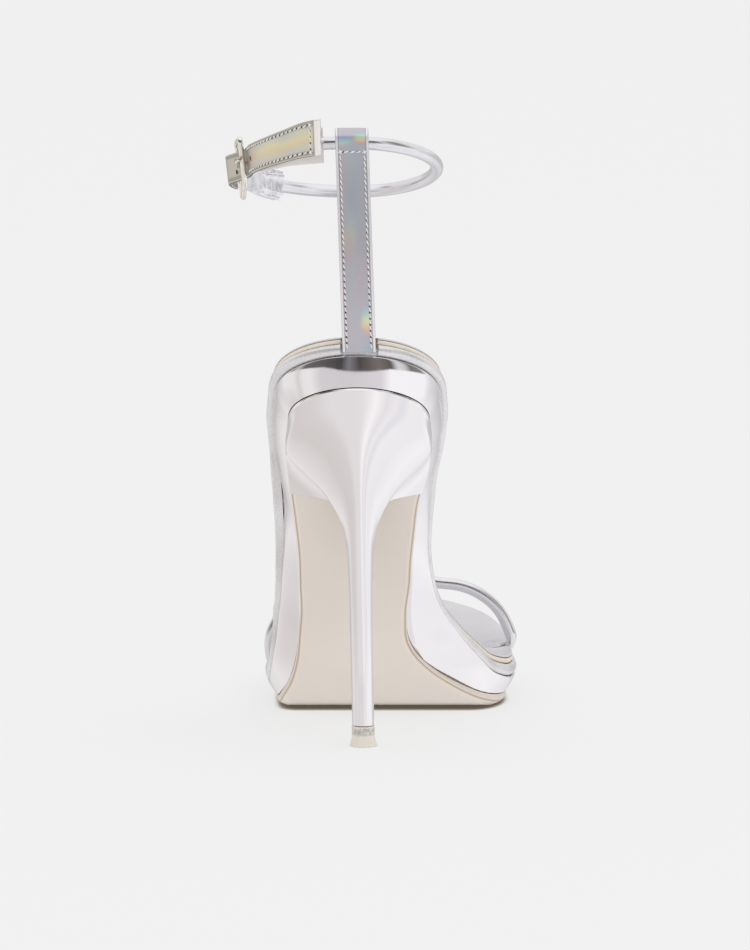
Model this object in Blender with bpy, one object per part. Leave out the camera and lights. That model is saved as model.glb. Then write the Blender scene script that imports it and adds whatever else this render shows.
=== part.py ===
# Strappy heeled sandal, the left shoe, standing empty on its sole.
# Metres, +Z up. The toe points along +Y and the inner side of the foot along +X.
# The origin is the middle of the heel tip's flat underside, on the floor.

import bpy
import bmesh
import numpy as np
from math import atan2, cos, pi, radians, sin, sqrt
from mathutils import Matrix, Vector

# Clearance between neighbouring pieces
GAP = 0.0003

# Last: where the foot stands
SOLE_LENGTH = 0.2560        # along the footbed, heel to toe
SEAT_HEIGHT = 0.1325        # top of the footbed at the back of the heel
SEAT_OVERHANG = 0.0340      # back of the footbed behind the heel tip
HEEL_TO_BALL = 0.1330       # level distance from the back to the ball
SEAT_WIDTH = 0.0563
WAIST_WIDTH = 0.0490
BALL_WIDTH = 0.0824
HEEL_ROUND = 0.0280         # length of the rounded end at the heel
TOE_ROUND = 0.0400          # length of the rounded end at the toe
SIDE_LEAN = 0.0160          # sideways lean of the whole shoe, per unit of height

# Layers of the sole, from the top down
COVER_THICKNESS = 0.0006
CUSHION_THICKNESS = 0.0013
BINDING_HEIGHT = 0.0034
BINDING_WIDTH = 0.0030
BINDING_BULGE = 0.0014
CUSHION_BULGE = 0.0002
PLATFORM_THICKNESS = 0.0092 # at the heel's back, thinner towards the toe
OUTSOLE_THICKNESS = 0.0033  # under the ball, thinner behind it
COVER_INSET = 0.0013        # edge of the footbed inside the binding's outline
ROLL_SHOWN = 0.0020         # top of the platform inside the binding's outline
UNDERCUT = 0.0074           # bottom of the platform inside the same outline
WALL_BULGE = 1.35           # power of the wall's curve, 1 is straight
EDGE_ROUND = 0.0004
ROUNDED_SHARE = 0.06        # share of the platform's wall that the rounded edge takes
INNER_RISE = 0.0013         # the footbed's inner side at the ball above its middle
PRESSED_FLAT = 0.0003       # how much the forefoot is flattened by standing
BREAST_AT = 0.0670          # along the footbed, where the outsole meets the heel

# Heel
SHAFT_WIDTH = 0.0080
SHAFT_TIP_WIDTH = 0.0068
SHAFT_DEPTH = 0.0084
TIP_HEIGHT = 0.0064
TIP_WIDTH = 0.0083
TIP_TOP_WIDTH = 0.0072
SHAFT_FRONT = 0.74          # width of the shaft's flat front, share of its width
TIP_FRONT = 0.78
WIDEST_AT = 0.45            # from the heel's front to its back
SEAT_BOW = 0.0022           # how far the heel's sides bow up between front and back
SEAM_BACK = 0.30            # the seam's drop at the back, share of the drop at the breast
HEEL_SIDE_POINTS = 12

# Straps
TUBE_DIAMETER = 0.0040
TOE_TUBE_DIAMETER = 0.0038
TOE_TUBE_END = 0.0026       # flattened where it goes under the footbed
HEEL_STRAP_WIDTH = 0.0102
HEEL_STRAP_PLY = 0.0012
STRAP_LOOP_LIFT = 0.0011     # slack of the heel strap's loop above the ankle tube
HEEL_STRAP_LEAN = 0.0350    # the strap leans further outward than the shoe
HEEL_STRAP_X = -0.0012      # middle of the strap where it leaves the sole
HEEL_STRAP_POCKET = 0.0021  # how far the strap is let into the binding
OUTER_POCKET = 0.0023       # how far the toe strap is let into the sole, outer side
INNER_POCKET = 0.0030
POCKET_RAMP = 0.0012

# Ankle ring: an ellipse seen from above, lower at the front
RING_BACK_ANGLE = 270.0
RING_MIDDLE = (-0.0034, 0.0110)
RING_INNER = 0.0263         # half width on the inner side of the foot
RING_OUTER = 0.0352         # half width on the outer side, where the buckle is
RING_LENGTH = 0.0390        # half length
RING_BACK_HEIGHT = 0.1907
RING_SLOPE = 0.256          # fall for each unit forward
RING_CANT = 0.110           # the flat straps lean in at the bottom
RING_TIP = 0.064            # and tip backward at the top

# Buckle side
TAB_PLY = 0.0012
BAR_DIAMETER = 0.0017
REAR_BAR_HEIGHT = 0.0158
FRONT_BAR_HEIGHT = 0.0194
BUCKLE_CORNER = 0.0018
CORNER_STEPS = 4
REAR_BAR_ANGLE = 196.0
FRONT_BAR_ANGLE = 173.0
BAR_OFFSET = 0.0003
PRONG_DIAMETER = 0.0013
CHAPE_PLY = 0.0008
CHAPE_HEIGHT = 0.0090
CHAPE_END_HEIGHT = 0.0098
CHAPE_END_THICKNESS = 0.0058
CHAPE_SLANT = 0.25          # the end's slant, its bottom drawn back
CHAPE_SLOT_MORE = 0.0020
CHAPE_FROM_BAR = 5.0        # degrees along the ring from the bar to the bend
CHAPE_BEND = radians(250.0) # how far the chape's end wraps the bar
PRONG_BEND_START = radians(60.0)
PRONG_BEND = radians(290.0)
PRONG_PAST_BAR = 4.0        # degrees along the ring
PRONG_SLOT = 0.0024
CUT_DEPTH = 0.0080          # of the boxes that cut the slots
PRONG_HOLE = 0.0074
PRONG_HOLE_ANGLE = 184.6

# Slope of the footbed, in degrees down towards the toe
FOOTBED_SLOPES = (
    # along, slope
    (0.000, 28.0),
    (0.072, 32.0),
    (0.144, 39.5),
    (0.220, 48.0),
    (0.300, 54.0),
    (0.380, 56.2),
    (0.468, 56.0),
    (0.516, 51.0),
    (0.556, 41.0),
    (0.596, 27.5),
    (0.632, 14.0),
    (0.660, 5.0),
    (0.684, 1.2),
    (0.744, -1.2),
    (0.784, -5.5),
    (0.848, -9.5),
    (0.920, -11.5),
    (1.000, -12.0),
)
BALL_AT = 0.714             # share of the sole's length where the footbed is level

# Outline of the binding's outer edge, before its two ends are rounded
OUTLINE = (
    # along, size, half width, middle
    (0.000, "seat", 0.478, 0.000),
    (0.056, "seat", 0.484, 0.000),
    (0.106, "seat", 0.488, 0.000),
    (0.164, "seat", 0.502, -0.003),
    (0.200, "seat", 0.495, -0.007),
    (0.234, "seat", 0.482, -0.010),
    (0.272, "seat", 0.466, -0.019),
    (0.308, "waist", 0.523, -0.022),
    (0.380, "waist", 0.505, -0.028),
    (0.420, "waist", 0.512, -0.027),
    (0.456, "waist", 0.531, -0.021),
    (0.490, "waist", 0.570, -0.008),
    (0.526, "ball", 0.374, 0.020),
    (0.564, "ball", 0.417, 0.048),
    (0.604, "ball", 0.451, 0.070),
    (0.640, "ball", 0.481, 0.095),
    (0.688, "ball", 0.500, 0.109),
    (0.728, "ball", 0.502, 0.108),
    (0.768, "ball", 0.496, 0.108),
    (0.816, "ball", 0.483, 0.112),
    (0.872, "ball", 0.450, 0.122),
    (0.928, "ball", 0.418, 0.135),
    (0.960, "ball", 0.392, 0.142),
    (1.000, "ball", 0.366, 0.148),
)
WIDTHS = {"seat": SEAT_WIDTH, "waist": WAIST_WIDTH, "ball": BALL_WIDTH}

# Platform and outsole, as shares of their sizes, on the outer and the inner side
LAYERS = (
    # along, platform, outsole, undercut outer, undercut inner, shown outer, shown inner
    (0.00, 1.00, 0.48, 0.70, 0.70, 0.80, 0.80),
    (0.12, 0.98, 0.48, 0.80, 0.70, 0.95, 0.90),
    (0.22, 0.94, 0.48, 0.78, 0.68, 1.00, 0.72),
    (0.30, 0.87, 0.49, 0.86, 0.78, 1.70, 0.80),
    (0.36, 0.82, 0.50, 0.94, 0.80, 1.35, 0.45),
    (0.42, 0.79, 0.52, 0.98, 0.92, 1.00, 0.28),
    (0.48, 0.74, 0.58, 1.08, 1.42, 0.90, 0.24),
    (0.54, 0.67, 0.72, 1.04, 2.00, 0.62, 0.24),
    (0.58, 0.60, 0.83, 0.92, 1.80, 0.56, 0.24),
    (0.62, 0.56, 0.90, 0.60, 0.94, 0.45, 0.25),
    (0.66, 0.52, 0.98, 0.47, 0.52, 0.30, 0.25),
    (0.70, 0.51, 1.00, 0.46, 0.46, 0.25, 0.25),
    (0.80, 0.51, 0.98, 0.44, 0.44, 0.25, 0.25),
    (1.00, 0.48, 0.84, 0.41, 0.41, 0.25, 0.25),
)

# Heel sections below its top: heights as shares of the breast and of the back seam,
# the other columns from 1 at the seat to 0 at the straight shaft
HEEL_SECTIONS = (
    # breast height, back height, forward, backward, front width, side width
    (0.975, 0.955, 0.84, 0.965, 0.420, 0.930),
    (0.935, 0.905, 0.64, 0.890, 0.195, 0.700),
    (0.875, 0.838, 0.44, 0.755, 0.075, 0.385),
    (0.790, 0.752, 0.27, 0.570, 0.025, 0.140),
    (0.690, 0.650, 0.15, 0.385, 0.012, 0.035),
    (0.575, 0.535, 0.07, 0.225, 0.000, 0.005),
    (0.450, 0.410, 0.03, 0.110, 0.000, 0.000),
    (0.290, 0.250, 0.01, 0.035, 0.000, 0.000),
)

# Heel tip, from its top down
TIP_SECTIONS = (
    # height, width
    (1.00, TIP_TOP_WIDTH),
    (0.45, TIP_TOP_WIDTH),
    (0.12, TIP_WIDTH),
    (0.00, TIP_WIDTH),
)

# Side line of the heel strap between the sole and the ankle ring, as shares of its height
HEEL_STRAP_LINE = (
    # height, bowed backward
    (0.00, 0.000),
    (0.20, 0.026),
    (0.42, 0.030),
    (0.64, 0.018),
    (0.82, 0.006),
    (0.90, 0.002),
)

# Toe strap: a loop over the ball joints, across, forward of the ball, and above the
# footbed, as shares of the ball's width
TOE_STRAP = (
    # across, forward, above
    (-0.372, 0.050, -0.030),
    (-0.381, 0.050, 0.015),
    (-0.371, 0.054, 0.084),
    (-0.328, 0.060, 0.158),
    (-0.262, 0.068, 0.226),
    (-0.155, 0.080, 0.277),
    (-0.025, 0.094, 0.304),
    (0.100, 0.110, 0.309),
    (0.212, 0.124, 0.296),
    (0.295, 0.136, 0.274),
    (0.375, 0.146, 0.268),
    (0.450, 0.154, 0.242),
    (0.515, 0.160, 0.198),
    (0.560, 0.164, 0.145),
    (0.588, 0.166, 0.078),
    (0.597, 0.166, 0.050),
    (0.594, 0.165, 0.023),
    (0.589, 0.164, 0.011),
)

# Tab: the flat pinholed end of the ankle strap, sewn round the tube's end
TAB = (
    # angle, outward, raised, width
    (255.8, 0.0030, 0.0023, 0.0114),
    (246.0, 0.0028, 0.0015, 0.0109),
    (236.0, 0.0018, 0.0004, 0.0101),
    (223.0, 0.0008, -0.0004, 0.0095),
    (210.0, -0.0003, -0.0006, 0.0093),
    (202.0, -0.0013, -0.0003, 0.0092),
    (196.0, -0.0017, -0.0003, 0.0092),
    (190.0, -0.0011, -0.0003, 0.0091),
    (184.0, 0.0009, -0.0003, 0.0090),
    (178.0, 0.0032, -0.0003, 0.0090),
    (173.0, 0.0039, -0.0002, 0.0089),
    (167.0, 0.0042, -0.0001, 0.0088),
    (160.0, 0.0041, 0.0000, 0.0087),
)
TAB_BACKING = (
    # angle, outward, raised, width
    (253.6, -0.0030, -0.0006, 0.0112),
    (246.0, -0.0029, -0.0006, 0.0110),
    (236.0, -0.0014, -0.0006, 0.0106),
    (223.0, -0.0012, -0.0008, 0.0102),
    (211.0, -0.0020, -0.0007, 0.0096),
)

# The tube's two ends on the ring, and the chape's end that takes one of them
TUBE_START = 247.0
TUBE_END = 491.2
CHAPE_ANGLE = 132.5

SIDES = ((-1.0, "outer"), (1.0, "inner"))
STATIONS = 36
CLOSEST_STATIONS = 0.0015


def clear_scene():
    for item in list(bpy.data.objects):
        bpy.data.objects.remove(item, do_unlink=True)


def new_collection(name):
    collection = bpy.data.collections.new(name)
    bpy.context.scene.collection.children.link(collection)
    return collection


def new_material(name, colour, roughness, metallic):
    material = bpy.data.materials.new(name)
    material.use_nodes = True
    shader = material.node_tree.nodes["Principled BSDF"]
    shader.inputs["Base Color"].default_value = (*colour, 1.0)
    shader.inputs["Roughness"].default_value = roughness
    shader.inputs["Metallic"].default_value = metallic
    return material


def add_mesh(name, bm, material, collection):
    bmesh.ops.recalc_face_normals(bm, faces=bm.faces)
    mesh = bpy.data.meshes.new(name)
    bm.to_mesh(mesh)
    bm.free()
    return add_object(name, mesh, material, collection)


def add_object(name, mesh, material, collection):
    mesh.shade_smooth()
    mesh.set_sharp_from_angle(angle=radians(40.0))
    mesh.materials.append(material)
    item = bpy.data.objects.new(name, mesh)
    collection.objects.link(item)
    return item


def smooth_step(low, high, value):
    share = min(1.0, max(0.0, (value - low) / (high - low)))
    return share * share * (3.0 - 2.0 * share)


def smooth_rows(rows, position):
    """A smooth curve through rows whose first column is the position."""
    keys = [row[0] for row in rows]
    falling = keys[0] > keys[-1]
    if falling:
        rows = rows[::-1]
        keys = keys[::-1]
    place = min(max(position, keys[0]), keys[-1])
    at = min(max(int(np.searchsorted(keys, place)), 1), len(keys) - 1)
    low, high = rows[at - 1], rows[at]
    before = rows[max(at - 2, 0)]
    after = rows[min(at + 1, len(rows) - 1)]
    span = high[0] - low[0]
    share = (place - low[0]) / span
    values = []
    for column in range(1, len(low)):
        slope_in = (high[column] - before[column]) / (high[0] - before[0]) * span
        slope_out = (after[column] - low[column]) / (after[0] - low[0]) * span
        square, cube = share * share, share ** 3
        values.append(
            (2 * cube - 3 * square + 1) * low[column]
            + (cube - 2 * square + share) * slope_in
            + (3 * square - 2 * cube) * high[column]
            + (cube - square) * slope_out
        )
    return values


LAYER_SIZES = (
    PLATFORM_THICKNESS, OUTSOLE_THICKNESS, UNDERCUT, UNDERCUT, ROLL_SHOWN, ROLL_SHOWN
)


def layer_sizes(along):
    """The layers' row at a place along the sole, in metres."""
    shares = smooth_rows(LAYERS, along / SOLE_LENGTH)
    return [share * size for share, size in zip(shares, LAYER_SIZES)]


def undercut(along, side):
    return layer_sizes(along)[2 if side < 0 else 3]


def roll_shown(along, side):
    return layer_sizes(along)[4 if side < 0 else 5]


# Levels of the layers, measured down from the top of the footbed
COVER_BOTTOM = COVER_THICKNESS
CUSHION_TOP = COVER_BOTTOM + GAP
CUSHION_BOTTOM = CUSHION_TOP + CUSHION_THICKNESS
BINDING_TOP = CUSHION_BOTTOM + GAP
BINDING_BOTTOM = BINDING_TOP + BINDING_HEIGHT
PLATFORM_TOP = BINDING_BOTTOM + GAP


def platform_bottom(along):
    return PLATFORM_TOP + layer_sizes(along)[0]


def outsole_bottom(along):
    return platform_bottom(along) + GAP + layer_sizes(along)[1]


def footbed_line():
    """Side line of the footbed: along, forward and height, summed up from its slopes."""
    steps = 500
    alongs = np.linspace(0.0, SOLE_LENGTH, steps + 1)
    slopes = [radians(smooth_rows(FOOTBED_SLOPES, s / SOLE_LENGTH)[0]) for s in alongs]
    forward = [0.0]
    height = [0.0]
    step = SOLE_LENGTH / steps
    for index in range(steps):
        slope = (slopes[index] + slopes[index + 1]) / 2
        forward.append(forward[-1] + step * cos(slope))
        height.append(height[-1] - step * sin(slope))
    forward = np.array(forward)
    height = np.array(height)
    ball = int(round(BALL_AT * steps))
    ball_height = outsole_bottom(alongs[ball]) - PRESSED_FLAT
    forward_scale = HEEL_TO_BALL / forward[ball]
    height_scale = (SEAT_HEIGHT - ball_height) / -height[ball]
    past_ball = forward - forward[ball]
    forward = np.where(past_ball < 0.0, past_ball * forward_scale, past_ball)
    forward = forward + HEEL_TO_BALL - SEAT_OVERHANG
    height = height - height[ball]
    height = np.where(past_ball < 0.0, height * height_scale, height) + ball_height
    return alongs, forward, height


ALONGS, FORWARD, HEIGHT = footbed_line()


def on_last(along, across, depth):
    """A point on the last: along the footbed, across it and below its top."""
    forward = np.interp(along, ALONGS, FORWARD)
    height = np.interp(along, ALONGS, HEIGHT)
    reach = SOLE_LENGTH / 100
    ahead = min(along + reach, SOLE_LENGTH)
    behind = max(along - reach, 0.0)
    run = np.interp(ahead, ALONGS, FORWARD) - np.interp(behind, ALONGS, FORWARD)
    fall = np.interp(behind, ALONGS, HEIGHT) - np.interp(ahead, ALONGS, HEIGHT)
    slope = atan2(fall, run)
    y = forward - depth * sin(slope)
    z = height - depth * cos(slope) + inner_rise(along, across, depth)
    return lean(Vector((across, y, z)))


def inner_rise(along, across, depth):
    """The footbed is dished at the ball: its inner side is higher, the outsole stays flat."""
    at_ball = smooth_step(0.50, 0.64, along / SOLE_LENGTH)
    sideways = max(0.0, across) / (BALL_WIDTH / 2)
    upper_share = max(0.0, 1.0 - depth / outsole_bottom(along))
    return INNER_RISE * at_ball * sideways * sideways * upper_share


def lean(point):
    """The whole shoe leans a little to its outer side."""
    return Vector((point.x - SIDE_LEAN * point.z, point.y, point.z))


def outline(along, inset):
    """Middle and half width of the outline, drawn in by the inset all round."""
    rows = [(row[0], row[2] * WIDTHS[row[1]], row[3] * BALL_WIDTH) for row in OUTLINE]
    half, middle = smooth_rows(rows, along / SOLE_LENGTH)
    half -= inset
    from_heel = HEEL_ROUND - along
    from_toe = along - (SOLE_LENGTH - TOE_ROUND)
    if from_heel > 0.0:
        half *= sqrt(max(0.0, 1.0 - (from_heel / (HEEL_ROUND - inset)) ** 2))
    if from_toe > 0.0:
        half *= sqrt(max(0.0, 1.0 - (from_toe / (TOE_ROUND - inset)) ** 2))
    return middle, half


# Places where a strap goes into the edge of the footbed
TOE_STRAP_OUTER = BALL_AT * SOLE_LENGTH + TOE_STRAP[0][1] * BALL_WIDTH
TOE_STRAP_INNER = BALL_AT * SOLE_LENGTH + TOE_STRAP[-1][1] * BALL_WIDTH
POCKET_HALF = TOE_TUBE_END / 2 + 2 * GAP


def toe_pocket(along, place, depth):
    distance = abs(along - place)
    return depth * (1.0 - smooth_step(POCKET_HALF, POCKET_HALF + POCKET_RAMP, distance))


def heel_pocket(along):
    if along > HEEL_ROUND:
        return 0.0
    across = outline(along, 0.0)[1]
    edge = HEEL_STRAP_WIDTH / 2 + GAP
    return HEEL_STRAP_POCKET * (1.0 - smooth_step(edge, edge + POCKET_RAMP, across))


def binding_pocket(along, side):
    outer = toe_pocket(along, TOE_STRAP_OUTER, OUTER_POCKET) if side < 0 else 0.0
    return outer + heel_pocket(along)


def cover_pocket(along, side):
    inner = toe_pocket(along, TOE_STRAP_INNER, INNER_POCKET) if side > 0 else 0.0
    return inner + binding_pocket(along, side)


def no_pocket(along, side):
    return 0.0


def station_shares():
    """Shares of the way round the half outline, closer together at the pockets."""
    shares = [index / STATIONS for index in range(STATIONS + 1)]
    strap_edge = HEEL_STRAP_WIDTH / 2 + GAP
    for across in (strap_edge * 0.5, strap_edge, strap_edge + POCKET_RAMP):
        ratio = across / (OUTLINE[0][2] * SEAT_WIDTH)
        along = HEEL_ROUND * (1.0 - sqrt(1.0 - ratio ** 2))
        shares.append(share_of(along))
    for place in (TOE_STRAP_OUTER, TOE_STRAP_INNER):
        for distance in (POCKET_HALF + POCKET_RAMP, POCKET_HALF):
            shares.append(share_of(place - distance))
            shares.append(share_of(place + distance))
    shares = sorted(shares)
    spaced = [shares[0]]
    for share in shares[1:]:
        if share - spaced[-1] > CLOSEST_STATIONS:
            spaced.append(share)
    return spaced


def share_of(along):
    return np.arccos(1.0 - 2.0 * along / SOLE_LENGTH) / pi


def rim_point(share, side, inset, depth, pocket, start):
    """A point on an outline drawn in by the inset, heel end or start to toe."""
    if start:
        turn = sin(pi * share / 2)
    else:
        turn = (1.0 - cos(pi * share)) / 2
    whole = start + (SOLE_LENGTH - start) * turn
    inset_here = inset(whole, side) if callable(inset) else inset
    inset_here += pocket(whole, side)
    first = start if start else inset_here
    along = first + (SOLE_LENGTH - inset_here - first) * turn
    middle, half = outline(along, inset_here)
    depth_here = depth(along) if callable(depth) else depth
    return on_last(along, middle + side * half, depth_here)


def rim_ring(bm, inset, depth, pocket, shares, start):
    """Ring of vertices: outer side heel to toe, then the inner side back to the heel."""
    outer = []
    inner = []
    for share in shares:
        at_heel_point = share == shares[0] and not start
        at_toe_point = share == shares[-1]
        point = rim_point(share, -1.0, inset, depth, pocket, start)
        vertex = bm.verts.new(point)
        outer.append(vertex)
        if at_heel_point or at_toe_point:
            inner.append(vertex)
        else:
            inner.append(bm.verts.new(rim_point(share, 1.0, inset, depth, pocket, start)))
    return outer, inner


def ring_loop(ring, start):
    outer, inner = ring
    returning = inner[-2::-1]
    return outer + (returning if start else returning[:-1])


def bridge(bm, first, second):
    count = len(first)
    for index in range(count):
        after = (index + 1) % count
        bm.faces.new((first[index], first[after], second[after], second[index]))


def cap_across(bm, ring):
    """Close a ring with strips that run across the foot."""
    outer, inner = ring
    for index in range(len(outer) - 1):
        corners = [outer[index], outer[index + 1], inner[index + 1], inner[index]]
        unique = []
        for corner in corners:
            if corner not in unique:
                unique.append(corner)
        bm.faces.new(unique)


def sole_layer(name, profile, pocket, material, collection, start=0.0, floor=False):
    """A layer of the sole. The profile lists insets and depths from top to bottom."""
    bm = bmesh.new()
    shares = station_shares() if not start else [i / STATIONS for i in range(STATIONS + 1)]
    rings = [rim_ring(bm, inset, depth, pocket, shares, start) for inset, depth in profile]
    loops = [ring_loop(ring, start) for ring in rings]
    for upper, lower in zip(loops, loops[1:]):
        bridge(bm, upper, lower)
    cap_across(bm, rings[0])
    cap_across(bm, rings[-1])
    if floor:
        for vertex in bm.verts:
            vertex.co.z = max(vertex.co.z, 0.0)
    return add_mesh(name, bm, material, collection)


def sole_ring(name, section, pocket, material, collection):
    """A ring that runs round the whole outline, with a closed section."""
    bm = bmesh.new()
    shares = station_shares()
    rings = [rim_ring(bm, inset, depth, pocket, shares, 0.0) for inset, depth in section]
    loops = [ring_loop(ring, 0.0) for ring in rings]
    for index, loop in enumerate(loops):
        bridge(bm, loop, loops[(index + 1) % len(loops)])
    return add_mesh(name, bm, material, collection)


def make_cover(material, collection):
    rounding = COVER_THICKNESS / 2
    profile = (
        (COVER_INSET + rounding, 0.0),
        (COVER_INSET, rounding),
        (COVER_INSET, COVER_BOTTOM),
    )
    sole_layer("footbed_cover", profile, cover_pocket, material, collection)


def make_cushion(material, collection):
    bulge = COVER_INSET - CUSHION_BULGE
    profile = (
        (COVER_INSET, CUSHION_TOP),
        (bulge, (CUSHION_TOP + CUSHION_BOTTOM) / 2),
        (COVER_INSET, CUSHION_BOTTOM),
    )
    sole_layer("footbed_cushion", profile, cover_pocket, material, collection)


def make_board(material, collection):
    inset = BINDING_WIDTH + GAP
    profile = ((inset, BINDING_TOP), (inset, BINDING_BOTTOM))
    sole_layer("insole_board", profile, binding_pocket, material, collection)


def make_binding(material, collection):
    """The rolled strip round the insole board: rounded outside, upright inside."""
    middle = (BINDING_TOP + BINDING_BOTTOM) / 2
    section = []
    turns = 8
    for index in range(turns + 1):
        angle = pi * index / turns
        inset = BINDING_BULGE * (1.0 - sin(angle))
        section.append((inset, middle - BINDING_HEIGHT / 2 * cos(angle)))
    section.append((BINDING_WIDTH, BINDING_BOTTOM))
    section.append((BINDING_WIDTH, BINDING_TOP))
    sole_ring("edge_binding", section, binding_pocket, material, collection)


def make_platform(material, collection):
    """The platform under the whole foot, with a bulging wall that leans inward."""
    profile = []
    for down in (0.0, ROUNDED_SHARE, 0.25, 0.45, 0.65, 0.82, 0.94, 1.0):
        profile.append((platform_inset(down), platform_depth(down)))
    sole_layer("platform", profile, no_pocket, material, collection)


def platform_inset(down):
    rounding = EDGE_ROUND * (1.0 - smooth_step(0.0, ROUNDED_SHARE, down))

    def inset(along, side):
        shown = roll_shown(along, side)
        return shown + rounding + (undercut(along, side) - shown) * down ** WALL_BULGE

    return inset


def platform_depth(down):
    def depth(along):
        return PLATFORM_TOP + layer_sizes(along)[0] * down

    return depth


def make_outsole(material, collection):
    """The thin sheet from the heel's breast to the toe, pressed flat under the ball."""
    profile = []
    for down, drawn_in in ((0.0, 0.0), (0.35, 0.0), (0.7, 0.22), (0.92, 0.62), (1.0, 1.0)):
        profile.append((outsole_inset(drawn_in), outsole_depth(down)))
    sole_layer("outsole", profile, no_pocket, material, collection, BREAST_AT + GAP, True)


def outsole_inset(drawn_in):
    def inset(along, side):
        return undercut(along, side) + GAP + layer_sizes(along)[1] * drawn_in

    return inset


def outsole_depth(down):
    def depth(along):
        return platform_bottom(along) + GAP + layer_sizes(along)[1] * down

    return depth


def heel_seat_ring(lowered):
    """The top edge of the heel under the platform, or the same edge level with the outsole."""
    ring = {}
    for side, name in SIDES:
        points = []
        for index in range(HEEL_SIDE_POINTS + 1):
            share = sin(pi / 2 * index / HEEL_SIDE_POINTS)
            inset = undercut(BREAST_AT * (1.0 - share), side) + GAP / 2
            along = BREAST_AT + (inset - BREAST_AT) * share
            middle, half = outline(along, inset)
            depth = platform_bottom(along) + GAP + lowered * (1.0 - (1.0 - SEAM_BACK) * share)
            points.append(on_last(along, middle + side * half, depth))
        ring[name] = points
    return ring


def section_ring(front, back, front_width, side_width, height_lift=0.0):
    """A heel section: flat in front, widest at its sides and round at the back."""
    ring = {}
    widest = WIDEST_AT
    for side, name in SIDES:
        points = []
        for index in range(HEEL_SIDE_POINTS + 1):
            share = sin(pi / 2 * index / HEEL_SIDE_POINTS)
            width = front_width + (side_width - front_width) * smooth_step(0.0, widest, share)
            if share > widest:
                width *= sqrt(max(0.0, 1.0 - ((share - widest) / (1.0 - widest)) ** 2))
            y = front[0] + (back[0] - front[0]) * share
            z = front[1] + (back[1] - front[1]) * share
            z += height_lift * 4.0 * share * (1.0 - share)
            points.append(lean(Vector((side * width, y, z))))
        ring[name] = points
    return ring


def shaft_half_width(height, breast_height):
    share = min(1.0, height / breast_height)
    return (SHAFT_TIP_WIDTH + (SHAFT_WIDTH - SHAFT_TIP_WIDTH) * share) / 2


def add_section(bm, ring):
    outer = [bm.verts.new(point) for point in ring["outer"]]
    inner = [bm.verts.new(point) for point in ring["inner"][:-1]]
    return outer, inner + [outer[-1]]


def loft_sections(name, rings, material, collection):
    bm = bmesh.new()
    sections = [add_section(bm, ring) for ring in rings]
    loops = [outer + inner[-2::-1] for outer, inner in sections]
    for upper, lower in zip(loops, loops[1:]):
        bridge(bm, upper, lower)
    cap_across(bm, sections[0])
    cap_across(bm, sections[-1])
    return add_mesh(name, bm, material, collection)


def make_heel(material, collection):
    top = heel_seat_ring(0.0)
    seat = heel_seat_ring(layer_sizes(BREAST_AT)[1])
    breast = seat["outer"][0]
    back = seat["outer"][-1]
    seat_middle = (seat["outer"][0].x + seat["inner"][0].x) / 2
    seat_half_front = seat["inner"][0].x - seat_middle
    seat_half = max(point.x for point in seat["inner"]) - seat_middle
    half_depth = SHAFT_DEPTH / 2
    rings = [top, seat]
    for row in HEEL_SECTIONS:
        front_z = breast.z * row[0]
        back_z = back.z * row[1]
        shaft = shaft_half_width((front_z + back_z) / 2, breast.z)
        deep = half_depth * shaft / (SHAFT_WIDTH / 2)
        front = (deep + (breast.y - deep) * row[2], front_z)
        rear = (-deep + (back.y + deep) * row[3], back_z)
        narrow = shaft * SHAFT_FRONT
        front_width = narrow + (seat_half_front - narrow) * row[4]
        side_width = shaft + (seat_half - shaft) * row[5]
        bow = SEAT_BOW * row[3] ** 3
        rings.append(section_ring(front, rear, front_width, side_width, bow))
    foot = SHAFT_TIP_WIDTH / 2
    foot_deep = half_depth * SHAFT_TIP_WIDTH / SHAFT_WIDTH
    bottom = TIP_HEIGHT + GAP
    narrow = foot * SHAFT_FRONT
    rings.append(section_ring((foot_deep, bottom), (-foot_deep, bottom), narrow, foot))
    loft_sections("heel", rings, material, collection)


def make_heel_tip(material, collection):
    rings = []
    for height, width in TIP_SECTIONS:
        half = width / 2
        z = TIP_HEIGHT * height
        deep = half * SHAFT_DEPTH / SHAFT_WIDTH
        rings.append(section_ring((deep, z), (-deep, z), half * TIP_FRONT, half))
    loft_sections("heel_tip", rings, material, collection)


def ring_place(angle, outward=0.0, raised=0.0):
    """A point beside the ankle ring's middle line, and the directions there."""
    turn = radians(angle)
    half = RING_INNER if cos(turn) > 0.0 else RING_OUTER
    x = RING_MIDDLE[0] + half * cos(turn)
    y = RING_MIDDLE[1] + RING_LENGTH * sin(turn)
    back = RING_MIDDLE[1] - RING_LENGTH
    z = RING_BACK_HEIGHT - RING_SLOPE * (y - back)
    normal = Vector((RING_LENGTH * cos(turn), half * sin(turn), 0.0)).normalized()
    upright = normal * RING_CANT + Vector((0.0, -RING_TIP, 1.0))
    upright.normalize()
    return Vector((x, y, z)) + normal * outward + upright * raised, normal, upright


def tube_object(name, points, radius, material, collection, radii=None, cyclic=False, sides=4):
    """A round tube along the points, made a mesh with its ends closed."""
    curve = bpy.data.curves.new(name, "CURVE")
    curve.dimensions = "3D"
    curve.bevel_depth = radius
    curve.bevel_resolution = sides
    curve.use_fill_caps = True
    spline = curve.splines.new("POLY")
    spline.points.add(len(points) - 1)
    for index, point in enumerate(points):
        spline.points[index].co = (*point, 1.0)
        spline.points[index].radius = radii[index] if radii else 1.0
    spline.use_cyclic_u = cyclic
    return curve_to_mesh(name, curve, Matrix(), material, collection)


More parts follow.
